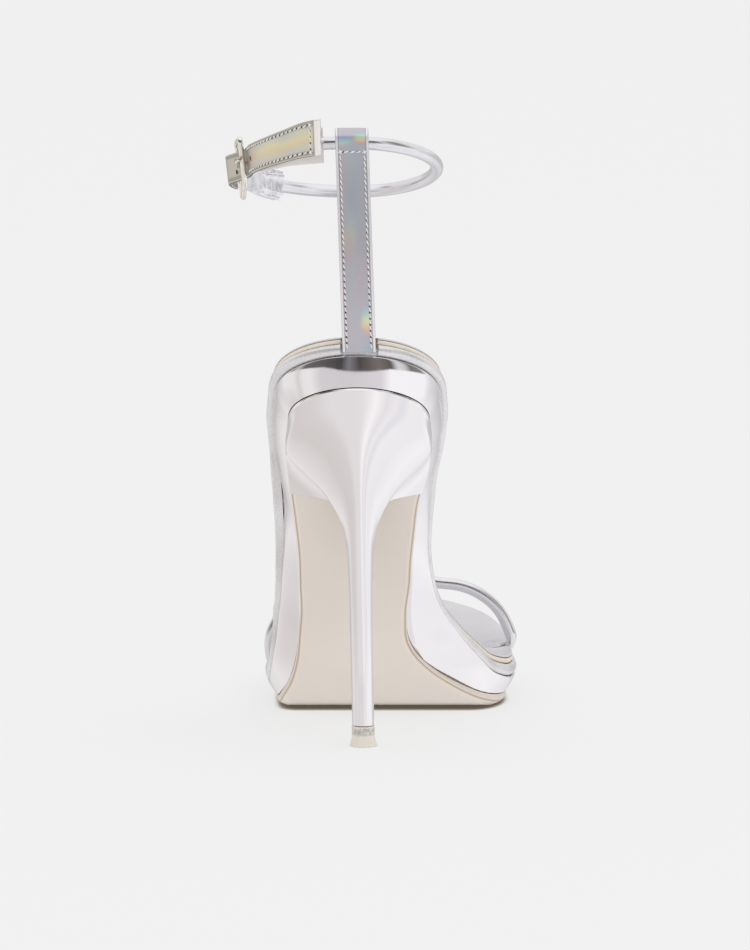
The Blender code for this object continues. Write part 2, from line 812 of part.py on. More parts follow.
def curve_to_mesh(name, curve, placing, material, collection):
    guide = bpy.data.objects.new(name + "_line", curve)
    collection.objects.link(guide)
    guide.matrix_world = placing
    bpy.context.view_layer.update()
    evaluated = guide.evaluated_get(bpy.context.evaluated_depsgraph_get())
    mesh = bpy.data.meshes.new_from_object(evaluated)
    mesh.transform(placing)
    bpy.data.objects.remove(guide, do_unlink=True)
    bm = bmesh.new()
    bm.from_mesh(mesh)
    bmesh.ops.remove_doubles(bm, verts=bm.verts, dist=0.000002)
    bmesh.ops.recalc_face_normals(bm, faces=bm.faces)
    bm.to_mesh(mesh)
    bm.free()
    mesh.name = name
    return add_object(name, mesh, material, collection)


def make_ankle_tube(material, collection):
    count = 56
    points = []
    for index in range(count + 1):
        angle = TUBE_START + (TUBE_END - TUBE_START) * index / count
        points.append(ring_place(angle)[0])
    tube_object("ankle_tube", points, TUBE_DIAMETER / 2, material, collection)


def make_toe_strap(material, collection):
    ball_y = HEEL_TO_BALL - SEAT_OVERHANG
    ball_z = outsole_bottom(BALL_AT * SOLE_LENGTH) - PRESSED_FLAT
    rows = []
    for index, row in enumerate(TOE_STRAP):
        rows.append((index, *(share * BALL_WIDTH for share in row)))
    points = []
    radii = []
    between = 3
    last = (len(TOE_STRAP) - 1) * between
    for index in range(last + 1):
        across, ahead, above = smooth_rows(rows, index / between)
        points.append(lean(Vector((across, ball_y + ahead, ball_z + above))))
        round_share = smooth_step(0.6, 2.6, min(index, last - index) / between)
        thickness = TOE_TUBE_END + (TOE_TUBE_DIAMETER - TOE_TUBE_END) * round_share
        radii.append(thickness / TOE_TUBE_DIAMETER)
    tube_object("toe_strap", points, TOE_TUBE_DIAMETER / 2, material, collection, radii)


def flat_outline(name, loops, half_width, placing, material, collection):
    """A flat shape with holes, filled and extruded to both sides."""
    curve = bpy.data.curves.new(name, "CURVE")
    curve.dimensions = "2D"
    curve.fill_mode = "BOTH"
    curve.extrude = half_width
    for loop in loops:
        spline = curve.splines.new("POLY")
        spline.points.add(len(loop) - 1)
        for index, (u, v) in enumerate(loop):
            spline.points[index].co = (u, v, 0.0, 1.0)
        spline.use_cyclic_u = True
    return curve_to_mesh(name, curve, placing, material, collection)


def make_heel_strap(material, collection):
    """A doubled strap: it comes out of the sole's edge and is sewn round the ankle tube."""
    ring_back = ring_place(RING_BACK_ANGLE)[0]
    bottom = on_last(0.0, 0.0, PLATFORM_TOP).z + GAP
    pocket = on_last(HEEL_STRAP_POCKET, 0.0, (BINDING_TOP + BINDING_BOTTOM) / 2)
    foot_y = pocket.y - GAP - HEEL_STRAP_PLY
    hole = TUBE_DIAMETER / 2 + GAP
    loop_outer = hole + HEEL_STRAP_PLY
    bend_radius = RING_INNER ** 2 / RING_LENGTH
    bend = (HEEL_STRAP_WIDTH / 2) ** 2 / (2 * bend_radius)
    outer_face = []
    inner_face = []
    height = ring_back.z - bottom
    top_y = ring_back.y - loop_outer + HEEL_STRAP_PLY
    for share, bow in HEEL_STRAP_LINE:
        y = foot_y + (top_y - foot_y) * share - height * bow
        z = bottom + height * share
        outer_face.append((y - HEEL_STRAP_PLY, z))
        inner_face.append((y + HEEL_STRAP_PLY, z))
    around = []
    turns = 14
    for index in range(turns + 1):
        angle = pi - pi * index / turns
        forward = bend if angle < pi / 2 else 0.0
        y = ring_back.y + forward + loop_outer * cos(angle)
        around.append((y, ring_back.z + STRAP_LOOP_LIFT + loop_outer * sin(angle)))
    outside = outer_face + around + inner_face[::-1]
    inside = []
    turns = 16
    for index in range(turns):
        angle = 2.0 * pi * index / turns
        rise = STRAP_LOOP_LIFT if sin(angle) > 0.0 else 0.0
        forward = bend if cos(angle) > 0.0 else 0.0
        y = ring_back.y + forward + hole * cos(angle)
        inside.append((y, ring_back.z + rise + hole * sin(angle)))
    placing = Matrix(((0, 0, 1, 0), (1, 0, 0, 0), (0, 1, 0, 0), (0, 0, 0, 1)))
    half = HEEL_STRAP_WIDTH / 2
    strap = flat_outline("heel_strap", (outside, inside), half, placing, material, collection)
    for vertex in strap.data.vertices:
        vertex.co.x += HEEL_STRAP_X - HEEL_STRAP_LEAN * (vertex.co.z - bottom)


def ring_strip(name, rows, thickness, material, collection, steps=40):
    """A flat strap along the ankle ring, with rounded long edges."""
    bm = bmesh.new()
    loops = []
    first, last = rows[0][0], rows[-1][0]
    edge = thickness * 0.5
    for index in range(steps + 1):
        angle = first + (last - first) * index / steps
        outward, raised, width = smooth_rows(rows, angle)
        half = width / 2
        section = (
            (-half + edge * 0.4, -thickness / 2),
            (half - edge * 0.4, -thickness / 2),
            (half, -thickness / 4),
            (half, thickness / 4),
            (half - edge * 0.4, thickness / 2),
            (-half + edge * 0.4, thickness / 2),
            (-half, thickness / 4),
            (-half, -thickness / 4),
        )
        loop = []
        for up, out in section:
            point, _, _ = ring_place(angle, outward + out, raised + up)
            loop.append(bm.verts.new(point))
        loops.append(loop)
    for near, far in zip(loops, loops[1:]):
        bridge(bm, near, far)
    bm.faces.new(loops[0][::-1])
    bm.faces.new(loops[-1])
    return add_mesh(name, bm, material, collection)


def add_cutter(name, angle, outward, size, cutters):
    """A box that cuts a slot, turned to the ring's direction at the angle."""
    centre, normal, upright = ring_place(angle, outward)
    sideways = upright.cross(normal).normalized()
    bpy.ops.mesh.primitive_cube_add(size=1.0)
    cutter = bpy.context.active_object
    cutter.name = name
    rotation = Matrix((normal, sideways, upright)).transposed().to_4x4()
    scale = Matrix.Diagonal((*size, 1.0))
    cutter.matrix_world = Matrix.Translation(centre) @ rotation
    cutter.data.transform(scale)
    for collection in list(cutter.users_collection):
        collection.objects.unlink(cutter)
    cutters.objects.link(cutter)
    cutter.hide_render = True
    cutter.display_type = "WIRE"
    return cutter


def cut(item, cutter):
    modifier = item.modifiers.new(cutter.name, "BOOLEAN")
    modifier.operation = "DIFFERENCE"
    modifier.object = cutter


def make_tab(material, collection, cutters):
    tab = ring_strip("strap_tab", TAB, TAB_PLY, material, collection, 52)
    size = (CUT_DEPTH, PRONG_HOLE, PRONG_SLOT)
    hole = add_cutter("prong_hole", PRONG_HOLE_ANGLE, 0.0, size, cutters)
    cut(tab, hole)


def make_tab_backing(material, collection):
    ring_strip("tab_backing", TAB_BACKING, TAB_PLY, material, collection, 20)


def bar_ends(angle, height):
    reach = (height - BAR_DIAMETER) / 2
    top = ring_place(angle, BAR_OFFSET, reach)[0]
    bottom = ring_place(angle, BAR_OFFSET, -reach)[0]
    return top, bottom


def make_buckle_frame(material, collection):
    """Four bars bent from one wire, with rounded corners."""
    rear_top, rear_bottom = bar_ends(REAR_BAR_ANGLE, REAR_BAR_HEIGHT)
    front_top, front_bottom = bar_ends(FRONT_BAR_ANGLE, FRONT_BAR_HEIGHT)
    corners = (rear_top, front_top, front_bottom, rear_bottom)
    points = []
    for index, corner in enumerate(corners):
        before = (corners[index - 1] - corner).normalized()
        after = (corners[(index + 1) % 4] - corner).normalized()
        start = corner + before * BUCKLE_CORNER
        end = corner + after * BUCKLE_CORNER
        for step in range(CORNER_STEPS + 1):
            share = step / CORNER_STEPS
            near = start.lerp(corner, share)
            far = corner.lerp(end, share)
            points.append(near.lerp(far, share))
    radius = BAR_DIAMETER / 2
    tube_object("buckle_frame", points, radius, material, collection, cyclic=True, sides=3)


def make_prong(material, collection):
    """A pin bent round the front bar; its point rests on the rear bar."""
    bar, normal, upright = ring_place(FRONT_BAR_ANGLE, BAR_OFFSET)
    backward = backward_of(normal, upright)
    eye = BAR_DIAMETER / 2 + GAP + PRONG_DIAMETER / 2
    points = []
    turns = 12
    for index in range(turns + 1):
        angle = PRONG_BEND_START + PRONG_BEND * index / turns
        points.append(bar + backward * eye * cos(angle) + normal * eye * sin(angle))
    rest = BAR_OFFSET + BAR_DIAMETER / 2 + GAP + PRONG_DIAMETER / 2
    above_bar = ring_place(REAR_BAR_ANGLE, rest)[0]
    start = points[-1]
    for share in (0.3, 0.7, 1.0):
        points.append(start.lerp(above_bar, share))
    points.append(ring_place(REAR_BAR_ANGLE + PRONG_PAST_BAR, rest)[0])
    radii = [1.0] * (len(points) - 2) + [0.95, 0.7]
    tube_object("buckle_prong", points, PRONG_DIAMETER / 2, material, collection, radii, sides=2)


def backward_of(normal, upright):
    """The direction along the ankle ring that points to the back of the shoe."""
    direction = normal.cross(upright).normalized()
    return -direction if direction.y > 0.0 else direction


def make_chape(material, collection, cutters):
    """The gathered end that holds the buckle's front bar and the tube's other end."""
    bar, normal, upright = ring_place(FRONT_BAR_ANGLE, BAR_OFFSET)
    backward = backward_of(normal, Vector((0.0, 0.0, 1.0))).xy
    sideways = normal.xy
    hole = BAR_DIAMETER / 2 + GAP
    around = hole + CHAPE_PLY
    first = FRONT_BAR_ANGLE - CHAPE_FROM_BAR
    steps = 24
    outer_line = []
    inner_line = []
    for index in range(steps + 1):
        share = index / steps
        angle = first + (CHAPE_ANGLE - first) * share
        swell = smooth_step(0.35, 1.0, share)
        half = CHAPE_PLY + (CHAPE_END_THICKNESS / 2 - CHAPE_PLY) * swell
        offset = BAR_OFFSET * (1.0 - share)
        outer_line.append(ring_place(angle, offset + half)[0].xy)
        inner_line.append(ring_place(angle, offset - half)[0].xy)
    bend = []
    turns = 12
    for index in range(turns + 1):
        angle = CHAPE_BEND * (index / turns - 0.5)
        bend.append(bar.xy + (backward * cos(angle) + sideways * sin(angle)) * around)
    hole_ring = []
    for index in range(turns):
        angle = 2.0 * pi * index / turns
        hole_ring.append(bar.xy + (backward * cos(angle) + sideways * sin(angle)) * hole)
    plan = outer_line + inner_line[::-1] + bend
    piece = flat_outline("chape", (plan, hole_ring), 0.5, Matrix(), material, collection)
    reach = ring_place(CHAPE_ANGLE)[0].xy - bar.xy
    back = RING_MIDDLE[1] - RING_LENGTH
    for vertex in piece.data.vertices:
        share = min(1.0, (vertex.co.xy - bar.xy).length / reach.length)
        tall = CHAPE_HEIGHT + (CHAPE_END_HEIGHT - CHAPE_HEIGHT) * share
        up = vertex.co.z * tall
        middle = RING_BACK_HEIGHT - RING_SLOPE * (vertex.co.y - back)
        slant = reach.normalized() * CHAPE_SLANT * share * up
        vertex.co.x += upright.x * up + slant.x
        vertex.co.y += slant.y
        vertex.co.z = middle + up
    size = (CUT_DEPTH, 2.0 * around + CHAPE_SLOT_MORE, PRONG_SLOT)
    cut(piece, add_cutter("prong_slot", FRONT_BAR_ANGLE, BAR_OFFSET, size, cutters))


def build():
    clear_scene()
    shoe = new_collection("strappy_heeled_sandal")
    cutters = new_collection("cutters")
    mirror = new_material("mirror_silver", (0.80, 0.78, 0.80), 0.08, 1.0)
    satin = new_material("satin_silver", (0.62, 0.60, 0.62), 0.35, 0.8)
    rainbow = new_material("holographic_silver", (0.60, 0.60, 0.64), 0.25, 0.9)
    footbed = new_material("footbed_silver", (0.60, 0.58, 0.61), 0.45, 0.5)
    cream = new_material("cream_edge", (0.84, 0.74, 0.62), 0.7, 0.0)
    beige = new_material("beige_sole", (0.72, 0.65, 0.57), 0.55, 0.0)
    gilt = new_material("pale_gold_metal", (0.83, 0.76, 0.62), 0.2, 1.0)
    clear = new_material("cream_plastic", (0.80, 0.72, 0.60), 0.35, 0.0)
    make_cover(footbed, shoe)
    make_cushion(cream, shoe)
    make_board(cream, shoe)
    make_binding(satin, shoe)
    make_platform(mirror, shoe)
    make_outsole(beige, shoe)
    make_heel(mirror, shoe)
    make_heel_tip(clear, shoe)
    make_heel_strap(rainbow, shoe)
    make_ankle_tube(satin, shoe)
    make_toe_strap(satin, shoe)
    make_tab(rainbow, shoe, cutters)
    make_tab_backing(satin, shoe)
    make_buckle_frame(gilt, shoe)
    make_prong(gilt, shoe)
    make_chape(satin, shoe, cutters)


build()
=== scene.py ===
import math

import bmesh
import bpy
import numpy as np
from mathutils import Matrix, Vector, noise


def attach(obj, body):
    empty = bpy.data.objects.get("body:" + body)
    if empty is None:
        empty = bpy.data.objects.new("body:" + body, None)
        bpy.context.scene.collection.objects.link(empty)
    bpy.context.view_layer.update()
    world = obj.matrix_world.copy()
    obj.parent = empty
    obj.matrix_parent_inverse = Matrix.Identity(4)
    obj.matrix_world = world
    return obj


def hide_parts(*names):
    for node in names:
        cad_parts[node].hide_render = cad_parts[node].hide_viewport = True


# Strappy heeled sandal, the left shoe. Metres, toe along +Y, inner side of the foot along +X.

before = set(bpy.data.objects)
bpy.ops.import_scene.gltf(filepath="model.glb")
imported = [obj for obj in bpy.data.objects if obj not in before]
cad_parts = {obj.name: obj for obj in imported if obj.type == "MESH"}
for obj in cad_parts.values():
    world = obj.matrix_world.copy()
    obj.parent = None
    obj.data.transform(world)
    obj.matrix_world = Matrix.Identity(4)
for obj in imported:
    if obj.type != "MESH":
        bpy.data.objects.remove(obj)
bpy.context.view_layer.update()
print("frame loaded:", len(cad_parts), "solids")

gap = 0.0003  # clearance between neighbouring pieces, as in the solids


# Camera and studio

camera = {
    "place": (0.0036, -1.8000, 0.2915),
    "pitchDown": 6.53,  # degrees below level
    "lens": 220.0,  # mm
    "sensor": 36.0,  # mm, the picture's long side
}

studio = {
    "floorSize": 60.0,
    "floorColour": (0.22, 0.22, 0.22),
    "floorGlow": 0.665,
    "contactReach": 0.0032,
    "worldStrength": 0.93,
    "lampPower": 4.0,
    "lampSize": 1.4,
    "lampPlace": (0.7, -0.9, 1.9),
    "lampAim": (0.0, 0.05, 0.05),
    "tentRadius": 3.0,
    "tentDroop": 0.42,
}

# Soft white tent round the shoe, seen only in shiny finishes. Degrees from the front, inner side
# positive, and how bright the cloth is there
tentLow = (
    (-180, (0.64, 0.63, 0.64)),
    (-160, (0.80, 0.79, 0.79)),
    (-140, (0.88, 0.86, 0.85)),
    (-108, (0.72, 0.69, 0.68)),
    (-70, (0.75, 0.72, 0.715)),
    (-40, (0.84, 0.82, 0.825)),
    (-4, (0.84, 0.82, 0.83)),
    (8, (0.86, 0.84, 0.855)),
    (26, (1.04, 1.03, 1.04)),
    (42, (0.87, 0.85, 0.88)),
    (54, (0.95, 0.94, 0.96)),
    (65, (0.86, 0.85, 0.90)),
    (78, (0.97, 0.96, 0.98)),
    (106, (0.95, 0.94, 0.97)),
    (124, (1.01, 1.01, 1.02)),
    (148, (0.89, 0.88, 0.91)),
    (165, (0.80, 0.79, 0.81)),
    (180, (0.64, 0.63, 0.64)),
)

tentLevel = (
    (-180, (0.60, 0.59, 0.60)),
    (-150, (0.54, 0.53, 0.54)),
    (-132, (0.70, 0.69, 0.70)),
    (-118, (0.90, 0.89, 0.90)),
    (-96, (0.88, 0.86, 0.86)),
    (-88, (0.74, 0.72, 0.72)),
    (-80, (0.90, 0.88, 0.88)),
    (-68, (0.92, 0.90, 0.91)),
    (-52, (0.72, 0.70, 0.72)),
    (-12, (0.70, 0.68, 0.70)),
    (34, (0.76, 0.74, 0.78)),
    (48, (1.03, 1.03, 1.05)),
    (104, (1.02, 1.02, 1.04)),
    (118, (0.80, 0.79, 0.81)),
    (150, (0.60, 0.59, 0.60)),
    (180, (0.60, 0.59, 0.60)),
)

tentHigh = (
    (-180, (0.86, 0.85, 0.86)),
    (-116, (0.90, 0.89, 0.90)),
    (-102, (0.28, 0.26, 0.25)),
    (-90, (0.66, 0.63, 0.58)),
    (-78, (0.16, 0.15, 0.15)),
    (-22, (0.07, 0.065, 0.07)),
    (-12, (0.22, 0.22, 0.24)),
    (4, (0.08, 0.07, 0.07)),
    (32, (0.20, 0.175, 0.16)),
    (50, (0.12, 0.11, 0.11)),
    (60, (0.74, 0.74, 0.76)),
    (70, (0.66, 0.66, 0.66)),
    (80, (0.20, 0.20, 0.18)),
    (98, (0.26, 0.26, 0.24)),
    (114, (0.88, 0.88, 0.90)),
    (180, (0.86, 0.85, 0.86)),
)

tentTop = (1.04, 1.04, 1.06)

tentHeights = (
    # layer that begins, degrees above level where its edge starts and ends
    (tentLevel, -17.0, -9.0),
    (tentHigh, 11.5, 13.0),
    (None, 44.0, 54.0),
)

# How far the layers hang down at each side, 1 is the whole droop
tentDroop = ((-180, 0.0), (-104, 1.0), (-48, 0.0), (48, 0.0), (104, 1.0), (180, 0.0))


def addObject(name, data):
    item = bpy.data.objects.new(name, data)
    bpy.context.scene.collection.objects.link(item)
    return item


def addCamera():
    data = bpy.data.cameras.new("photoCamera")
    data.lens = camera["lens"]
    data.sensor_width = camera["sensor"]
    item = addObject("photoCamera", data)
    item.location = camera["place"]
    item.rotation_euler = (math.radians(90.0 - camera["pitchDown"]), 0.0, 0.0)
    bpy.context.scene.camera = item


def tentCloth():
    material = bpy.data.materials.new("tentCloth")
    material.use_nodes = True
    tree = material.node_tree
    tree.nodes.clear()
    split = splitVector(tree, addNode(tree, "ShaderNodeTexCoord").outputs["Object"])
    front = mathValue(tree, "MULTIPLY", split["Y"], -1.0)
    turn = mathValue(tree, "ARCTAN2", split["X"], front)
    around = rangeValue(tree, turn, -math.pi, math.pi, 0.0, 1.0)

    def layer(rows):
        return rampColour(tree, around, [((degrees + 180) / 360, colour) for degrees, colour in rows])

    colour = layer(tentLow)
    droop = layer([(degrees, (share, share, share)) for degrees, share in tentDroop])
    lowered = mathValue(tree, "MULTIPLY_ADD", droop, studio["tentDroop"], split["Z"])
    for rows, start, end in tentHeights:
        low, high = (studio["tentRadius"] * math.sin(math.radians(angle)) for angle in (start, end))
        share = rangeValue(tree, lowered if rows is tentHigh else split["Z"], low, high, 0.0, 1.0)
        colour = mixColour(tree, share, colour, layer(rows) if rows else tentTop)
    glow = addNode(tree, "ShaderNodeEmission", Color=colour).outputs[0]
    addNode(tree, "ShaderNodeOutputMaterial", Surface=glow)
    material.cycles.emission_sampling = "NONE"
    return material


def addTent():
    mesh = bpy.data.meshes.new("studioTent")
    bm = bmesh.new()
    bmesh.ops.create_uvsphere(bm, u_segments=48, v_segments=24, radius=studio["tentRadius"])
    bm.to_mesh(mesh)
    bm.free()
    mesh.materials.append(tentCloth())
    tent = addObject("studioTent", mesh)
    tent.visible_camera = False
    tent.visible_diffuse = False
    tent.visible_shadow = False
    tent.visible_transmission = False


contactShade = (
    # how open the floor is there, colour of its glow; the dark brown stops are a painted contact shadow
    (0.25, (0.10, 0.075, 0.04)),
    (0.42, (0.34, 0.29, 0.24)),
    (0.60, (0.84, 0.82, 0.80)),
    (0.78, (1.0, 1.0, 1.0)),
)


def addFloor():
    mesh = bpy.data.meshes.new("studioFloor")
    half = studio["floorSize"] / 2
    corners = [(-half, -half, 0), (half, -half, 0), (half, half, 0), (-half, half, 0)]
    mesh.from_pydata(corners, [], [(0, 1, 2, 3)])
    floor = addObject("studioFloor", mesh)
    material, tree, shader = newMaterial("floorPaper", studio["floorColour"], 0.9, 0.0)
    shader.inputs["Specular IOR Level"].default_value = 0.0
    shader.inputs["Emission Strength"].default_value = studio["floorGlow"]
    # the floor's glow is darkened by ambient occlusion near the shoe: a painted contact shadow
    near = addNode(tree, "ShaderNodeAmbientOcclusion", Distance=studio["contactReach"])
    contact = rampColour(tree, near.outputs["AO"], contactShade)
    tree.links.new(contact, shader.inputs["Emission Color"])
    mesh.materials.append(material)
    floor.visible_glossy = False  # shiny finishes see the tent's lower half instead


def addStudio():
    bpy.context.scene.view_settings.view_transform = "Standard"
    world = bpy.data.worlds.new("studioWorld")
    bpy.context.scene.world = world
    world.use_nodes = True
    background = world.node_tree.nodes["Background"]
    background.inputs["Color"].default_value = (1.0, 1.0, 1.0, 1.0)
    background.inputs["Strength"].default_value = studio["worldStrength"]
    addFloor()
    addTent()
    lamp = bpy.data.lights.new("softLamp", "AREA")
    lamp.energy = studio["lampPower"]
    lamp.size = studio["lampSize"]
    item = addObject("softLamp", lamp)
    item.location = studio["lampPlace"]
    aim = Vector(studio["lampAim"]) - item.location
    item.rotation_euler = aim.to_track_quat("-Z", "Y").to_euler()
    item.visible_glossy = False


# Materials

def newMaterial(name, colour, roughness, metallic):
    material = bpy.data.materials.new(name)
    material.use_nodes = True
    tree = material.node_tree
    shader = tree.nodes["Principled BSDF"]
    shader.inputs["Base Color"].default_value = (*colour, 1.0)
    shader.inputs["Roughness"].default_value = roughness
    shader.inputs["Metallic"].default_value = metallic
    return material, tree, shader


# A socket takes a link, or a plain value
def setSocket(tree, socket, value):
    if isinstance(value, bpy.types.NodeSocket):
        tree.links.new(value, socket)
    elif socket.type == "RGBA":
        socket.default_value = (*value, 1.0)
    else:
        socket.default_value = value


# settings: the node's own sockets and properties by name
def addNode(tree, kind, **settings):
    node = tree.nodes.new(kind)
    for name, value in settings.items():
        if name in node.inputs:
            setSocket(tree, node.inputs[name], value)
        else:
            setattr(node, name, value)
    return node


def mathValue(tree, operation, *values, kind="ShaderNodeMath", output=0):
    node = addNode(tree, kind, operation=operation)
    for socket, value in zip(node.inputs, values):
        setSocket(tree, socket, value)
    return node.outputs[output]


def splitVector(tree, vector):
    return addNode(tree, "ShaderNodeSeparateXYZ", Vector=vector).outputs


def uvParts(tree):
    return splitVector(tree, addNode(tree, "ShaderNodeUVMap").outputs["UV"])


def objectPoint(tree, scale=(1.0, 1.0, 1.0)):
    coordinates = addNode(tree, "ShaderNodeTexCoord").outputs["Object"]
    return addNode(tree, "ShaderNodeMapping", Scale=scale, Vector=coordinates).outputs["Vector"]


def noiseValue(tree, point, scale, detail=3.0, roughness=0.5):
    return addNode(tree, "ShaderNodeTexNoise", Scale=scale, Detail=detail, Roughness=roughness,
                   Vector=point).outputs["Fac"]


# Stops whose colours have a fourth number give it as the ramp's alpha
def rampColour(tree, value, stops):
    node = addNode(tree, "ShaderNodeValToRGB", Fac=value)
    ramp = node.color_ramp
    while len(ramp.elements) < len(stops):
        ramp.elements.new(0.5)
    for element, (place, colour) in zip(ramp.elements, stops):
        element.position = place
        element.color = (*colour, 1.0) if len(colour) == 3 else colour
    return node.outputs["Color"]


def rangeValue(tree, value, *limits):
    node = addNode(tree, "ShaderNodeMapRange", Value=value)
    for socket, number in zip(("From Min", "From Max", "To Min", "To Max"), limits):
        node.inputs[socket].default_value = number
    return node.outputs["Result"]


def mixColour(tree, factor, first, second, blend="MIX"):
    node = addNode(tree, "ShaderNodeMix", data_type="RGBA", blend_type=blend)
    for place, value in ((0, factor), (6, first), (7, second)):
        setSocket(tree, node.inputs[place], value)
    return node.outputs[2]


# Lays one ramp's colour over another where the ramp's alpha says so
def coverColour(tree, colour, paint):
    return mixColour(tree, paint.node.outputs["Alpha"], colour, paint)


# bumps: pairs of value and strength, chained one on another
def addFinish(tree, shader, colour, bumps=(), depth=0.0, rough=None):
    tree.links.new(colour, shader.inputs["Base Color"])
    if rough:
        tree.links.new(rough, shader.inputs["Roughness"])
    normal = None
    for value, strength in bumps:
        node = addNode(tree, "ShaderNodeBump", Strength=strength, Distance=depth, Height=value)
        if normal:
            tree.links.new(normal, node.inputs["Normal"])
        normal = node.outputs["Normal"]
    if normal:
        tree.links.new(normal, shader.inputs["Normal"])


noiseSpan = (0.3, 0.7)  # where most of a noise pattern's values lie

mirrorFinish = {
    "low": (0.868, 0.848, 0.853),
    "high": (0.888, 0.870, 0.875),
    "roughness": 0.06,
    "roughnessSpan": (0.04, 0.08),
    "waveScale": 34.0,
    "dimpleScale": 420.0,
    "waveDepth": 0.00015,
}


def mirrorSilver():
    look = mirrorFinish
    material, tree, shader = newMaterial("mirrorSilver", look["low"], look["roughness"], 1.0)
    point = objectPoint(tree)
    broad = noiseValue(tree, point, look["waveScale"], 2.0)
    fine = noiseValue(tree, point, look["dimpleScale"], 2.0)
    colour = rampColour(tree, broad, ((0.35, look["low"]), (0.65, look["high"])))
    rough = rangeValue(tree, fine, *noiseSpan, *look["roughnessSpan"])
    addFinish(tree, shader, colour, ((broad, 1.0), (fine, 0.02)), look["waveDepth"], rough)
    return material


satinGrainScale = 1500.0

satinFinishes = {
    # name, darkest, lightest, metallic, roughness, grain, waves, scale of the patches
    "satin": ("satinSilver", (0.69, 0.67, 0.675), (0.84, 0.83, 0.84), 0.55, 0.32, 0.35, 0.25, 60.0),
    "tube": ("tubeSilver", (0.74, 0.735, 0.755), (0.84, 0.835, 0.86), 0.95, 0.20, 0.01, 0.03, 60.0),
    "chape": ("crumpledSilver", (0.68, 0.67, 0.71), (0.97, 0.96, 0.99), 0.50, 0.24, 0.01, 0.9, 210.0),
    "lining": ("liningSilver", (0.78, 0.74, 0.72), (0.86, 0.82, 0.80), 0.4, 0.40, 0.3, 0.25, 60.0),
}


def satinSilver(name, low, high, metallic, roughness, grain, waves, patches):
    material, tree, shader = newMaterial(name, low, roughness, metallic)
    point = objectPoint(tree)
    broad = noiseValue(tree, point, patches, 4.0)
    fine = noiseValue(tree, point, satinGrainScale, 3.0, 0.6)
    colour = rampColour(tree, broad, ((0.30, low), (0.70, high)))
    speckle = rangeValue(tree, fine, 0.35, 0.65, 1.0 - 0.20 * grain, 1.0 + 0.14 * grain)
    colour = mixColour(tree, 1.0, colour, speckle, "MULTIPLY")
    rough = rangeValue(tree, broad, *noiseSpan, roughness - 0.05, roughness + 0.06)
    addFinish(tree, shader, colour, ((broad, waves), (fine, grain)), 0.00005, rough)
    return material


foilGrainScale = 1800.0

rainbowStops = (
    (0.00, (0.52, 0.40, 0.46)),
    (0.18, (0.78, 0.40, 0.42)),
    (0.36, (0.88, 0.62, 0.38)),
    (0.52, (0.82, 0.84, 0.50)),
    (0.68, (0.45, 0.80, 0.66)),
    (0.84, (0.44, 0.60, 0.82)),
    (1.00, (0.50, 0.50, 0.66)),
)


# 0 outside, 1 in the middle of a soft oval patch
def rainbowPatch(tree, point, centre, size):
    kind = "ShaderNodeVectorMath"
    offset = mathValue(tree, "SUBTRACT", point, centre, kind=kind)
    scaled = mathValue(tree, "DIVIDE", offset, size, kind=kind)
    length = mathValue(tree, "LENGTH", scaled, kind=kind, output="Value")
    node = addNode(tree, "ShaderNodeMapRange", interpolation_type="SMOOTHSTEP", Value=length)
    node.inputs["From Min"].default_value = 1.0
    node.inputs["From Max"].default_value = 0.25
    return node.outputs["Result"]


heelStrapRainbowSheen = (
    # centre, size, where the rainbow starts and ends in height, strength; each patch is the foil's own
    # rainbow, painted in as fixed sheen where the light caught it
    ((0.0014, -0.0330, 0.1366), (0.0030, 0.02, 0.0066), 0.1300, 0.1436, 0.75),
    ((-0.0004, -0.0310, 0.1922), (0.0036, 0.02, 0.0024), 0.1899, 0.1946, 0.95),
    ((-0.0062, -0.0310, 0.1922), (0.0040, 0.02, 0.0026), 0.1858, 0.1932, 0.85),
    ((0.0006, -0.0310, 0.1966), (0.0044, 0.02, 0.0018), 0.1950, 0.2010, 0.70),
    ((-0.0040, -0.0330, 0.1620), (0.0030, 0.02, 0.0120), 0.1500, 0.1760, 0.20),
)

foldedEdge = (
    # share from the middle of the strap to its side, colour and cover of the turned edge
    (0.775, (0.0, 0.0, 0.0, 0.0)),
    (0.825, (0.26, 0.25, 0.26, 0.55)),
    (0.865, (0.86, 0.84, 0.86, 1.0)),
    (0.965, (0.80, 0.78, 0.81, 1.0)),
    (1.00, (0.40, 0.38, 0.40, 1.0)),
)


# Paints the turned edges of a strap. across: share across it, from its own UV map
def addFoldedEdge(tree, colour, across, stops):
    aside = mathValue(tree, "ABSOLUTE", mathValue(tree, "SUBTRACT", across, 0.5))
    return coverColour(tree, colour, rampColour(tree, mathValue(tree, "MULTIPLY", aside, 2.0), stops))


stripColours = (
    (0.30, (0.44, 0.475, 0.55)),
    (0.45, (0.50, 0.52, 0.57)),
    (0.56, (0.55, 0.50, 0.535)),
    (0.70, (0.54, 0.54, 0.54)),
)


# Grey-blue and mauve sheet for the heel strap, with a few patches of the foil's rainbow painted in as fixed
# sheen where the light caught it
def holographicSilver():
    material, tree, shader = newMaterial("holographicSilver", (0.47, 0.49, 0.53), 0.30, 0.42)
    point = objectPoint(tree)
    broad = noiseValue(tree, objectPoint(tree, (60.0, 60.0, 22.0)), 1.6, 2.0, 0.4)
    fine = noiseValue(tree, point, foilGrainScale, 2.0)
    colour = rampColour(tree, broad, stripColours)
    height = splitVector(tree, point)["Z"]
    # rainbow patches: the foil's sheen painted in at fixed places
    for centre, size, low, high, strength in heelStrapRainbowSheen:
        rainbow = rampColour(tree, rangeValue(tree, height, low, high, 0.0, 1.0), rainbowStops)
        patch = rainbowPatch(tree, point, centre, size)
        colour = mixColour(tree, mathValue(tree, "MULTIPLY", patch, strength), colour, rainbow)
    colour = addFoldedEdge(tree, colour, uvParts(tree)["Y"], foldedEdge)
    addFinish(tree, shader, colour, ((broad, 0.2), (fine, 0.15)), 0.00004)
    return material


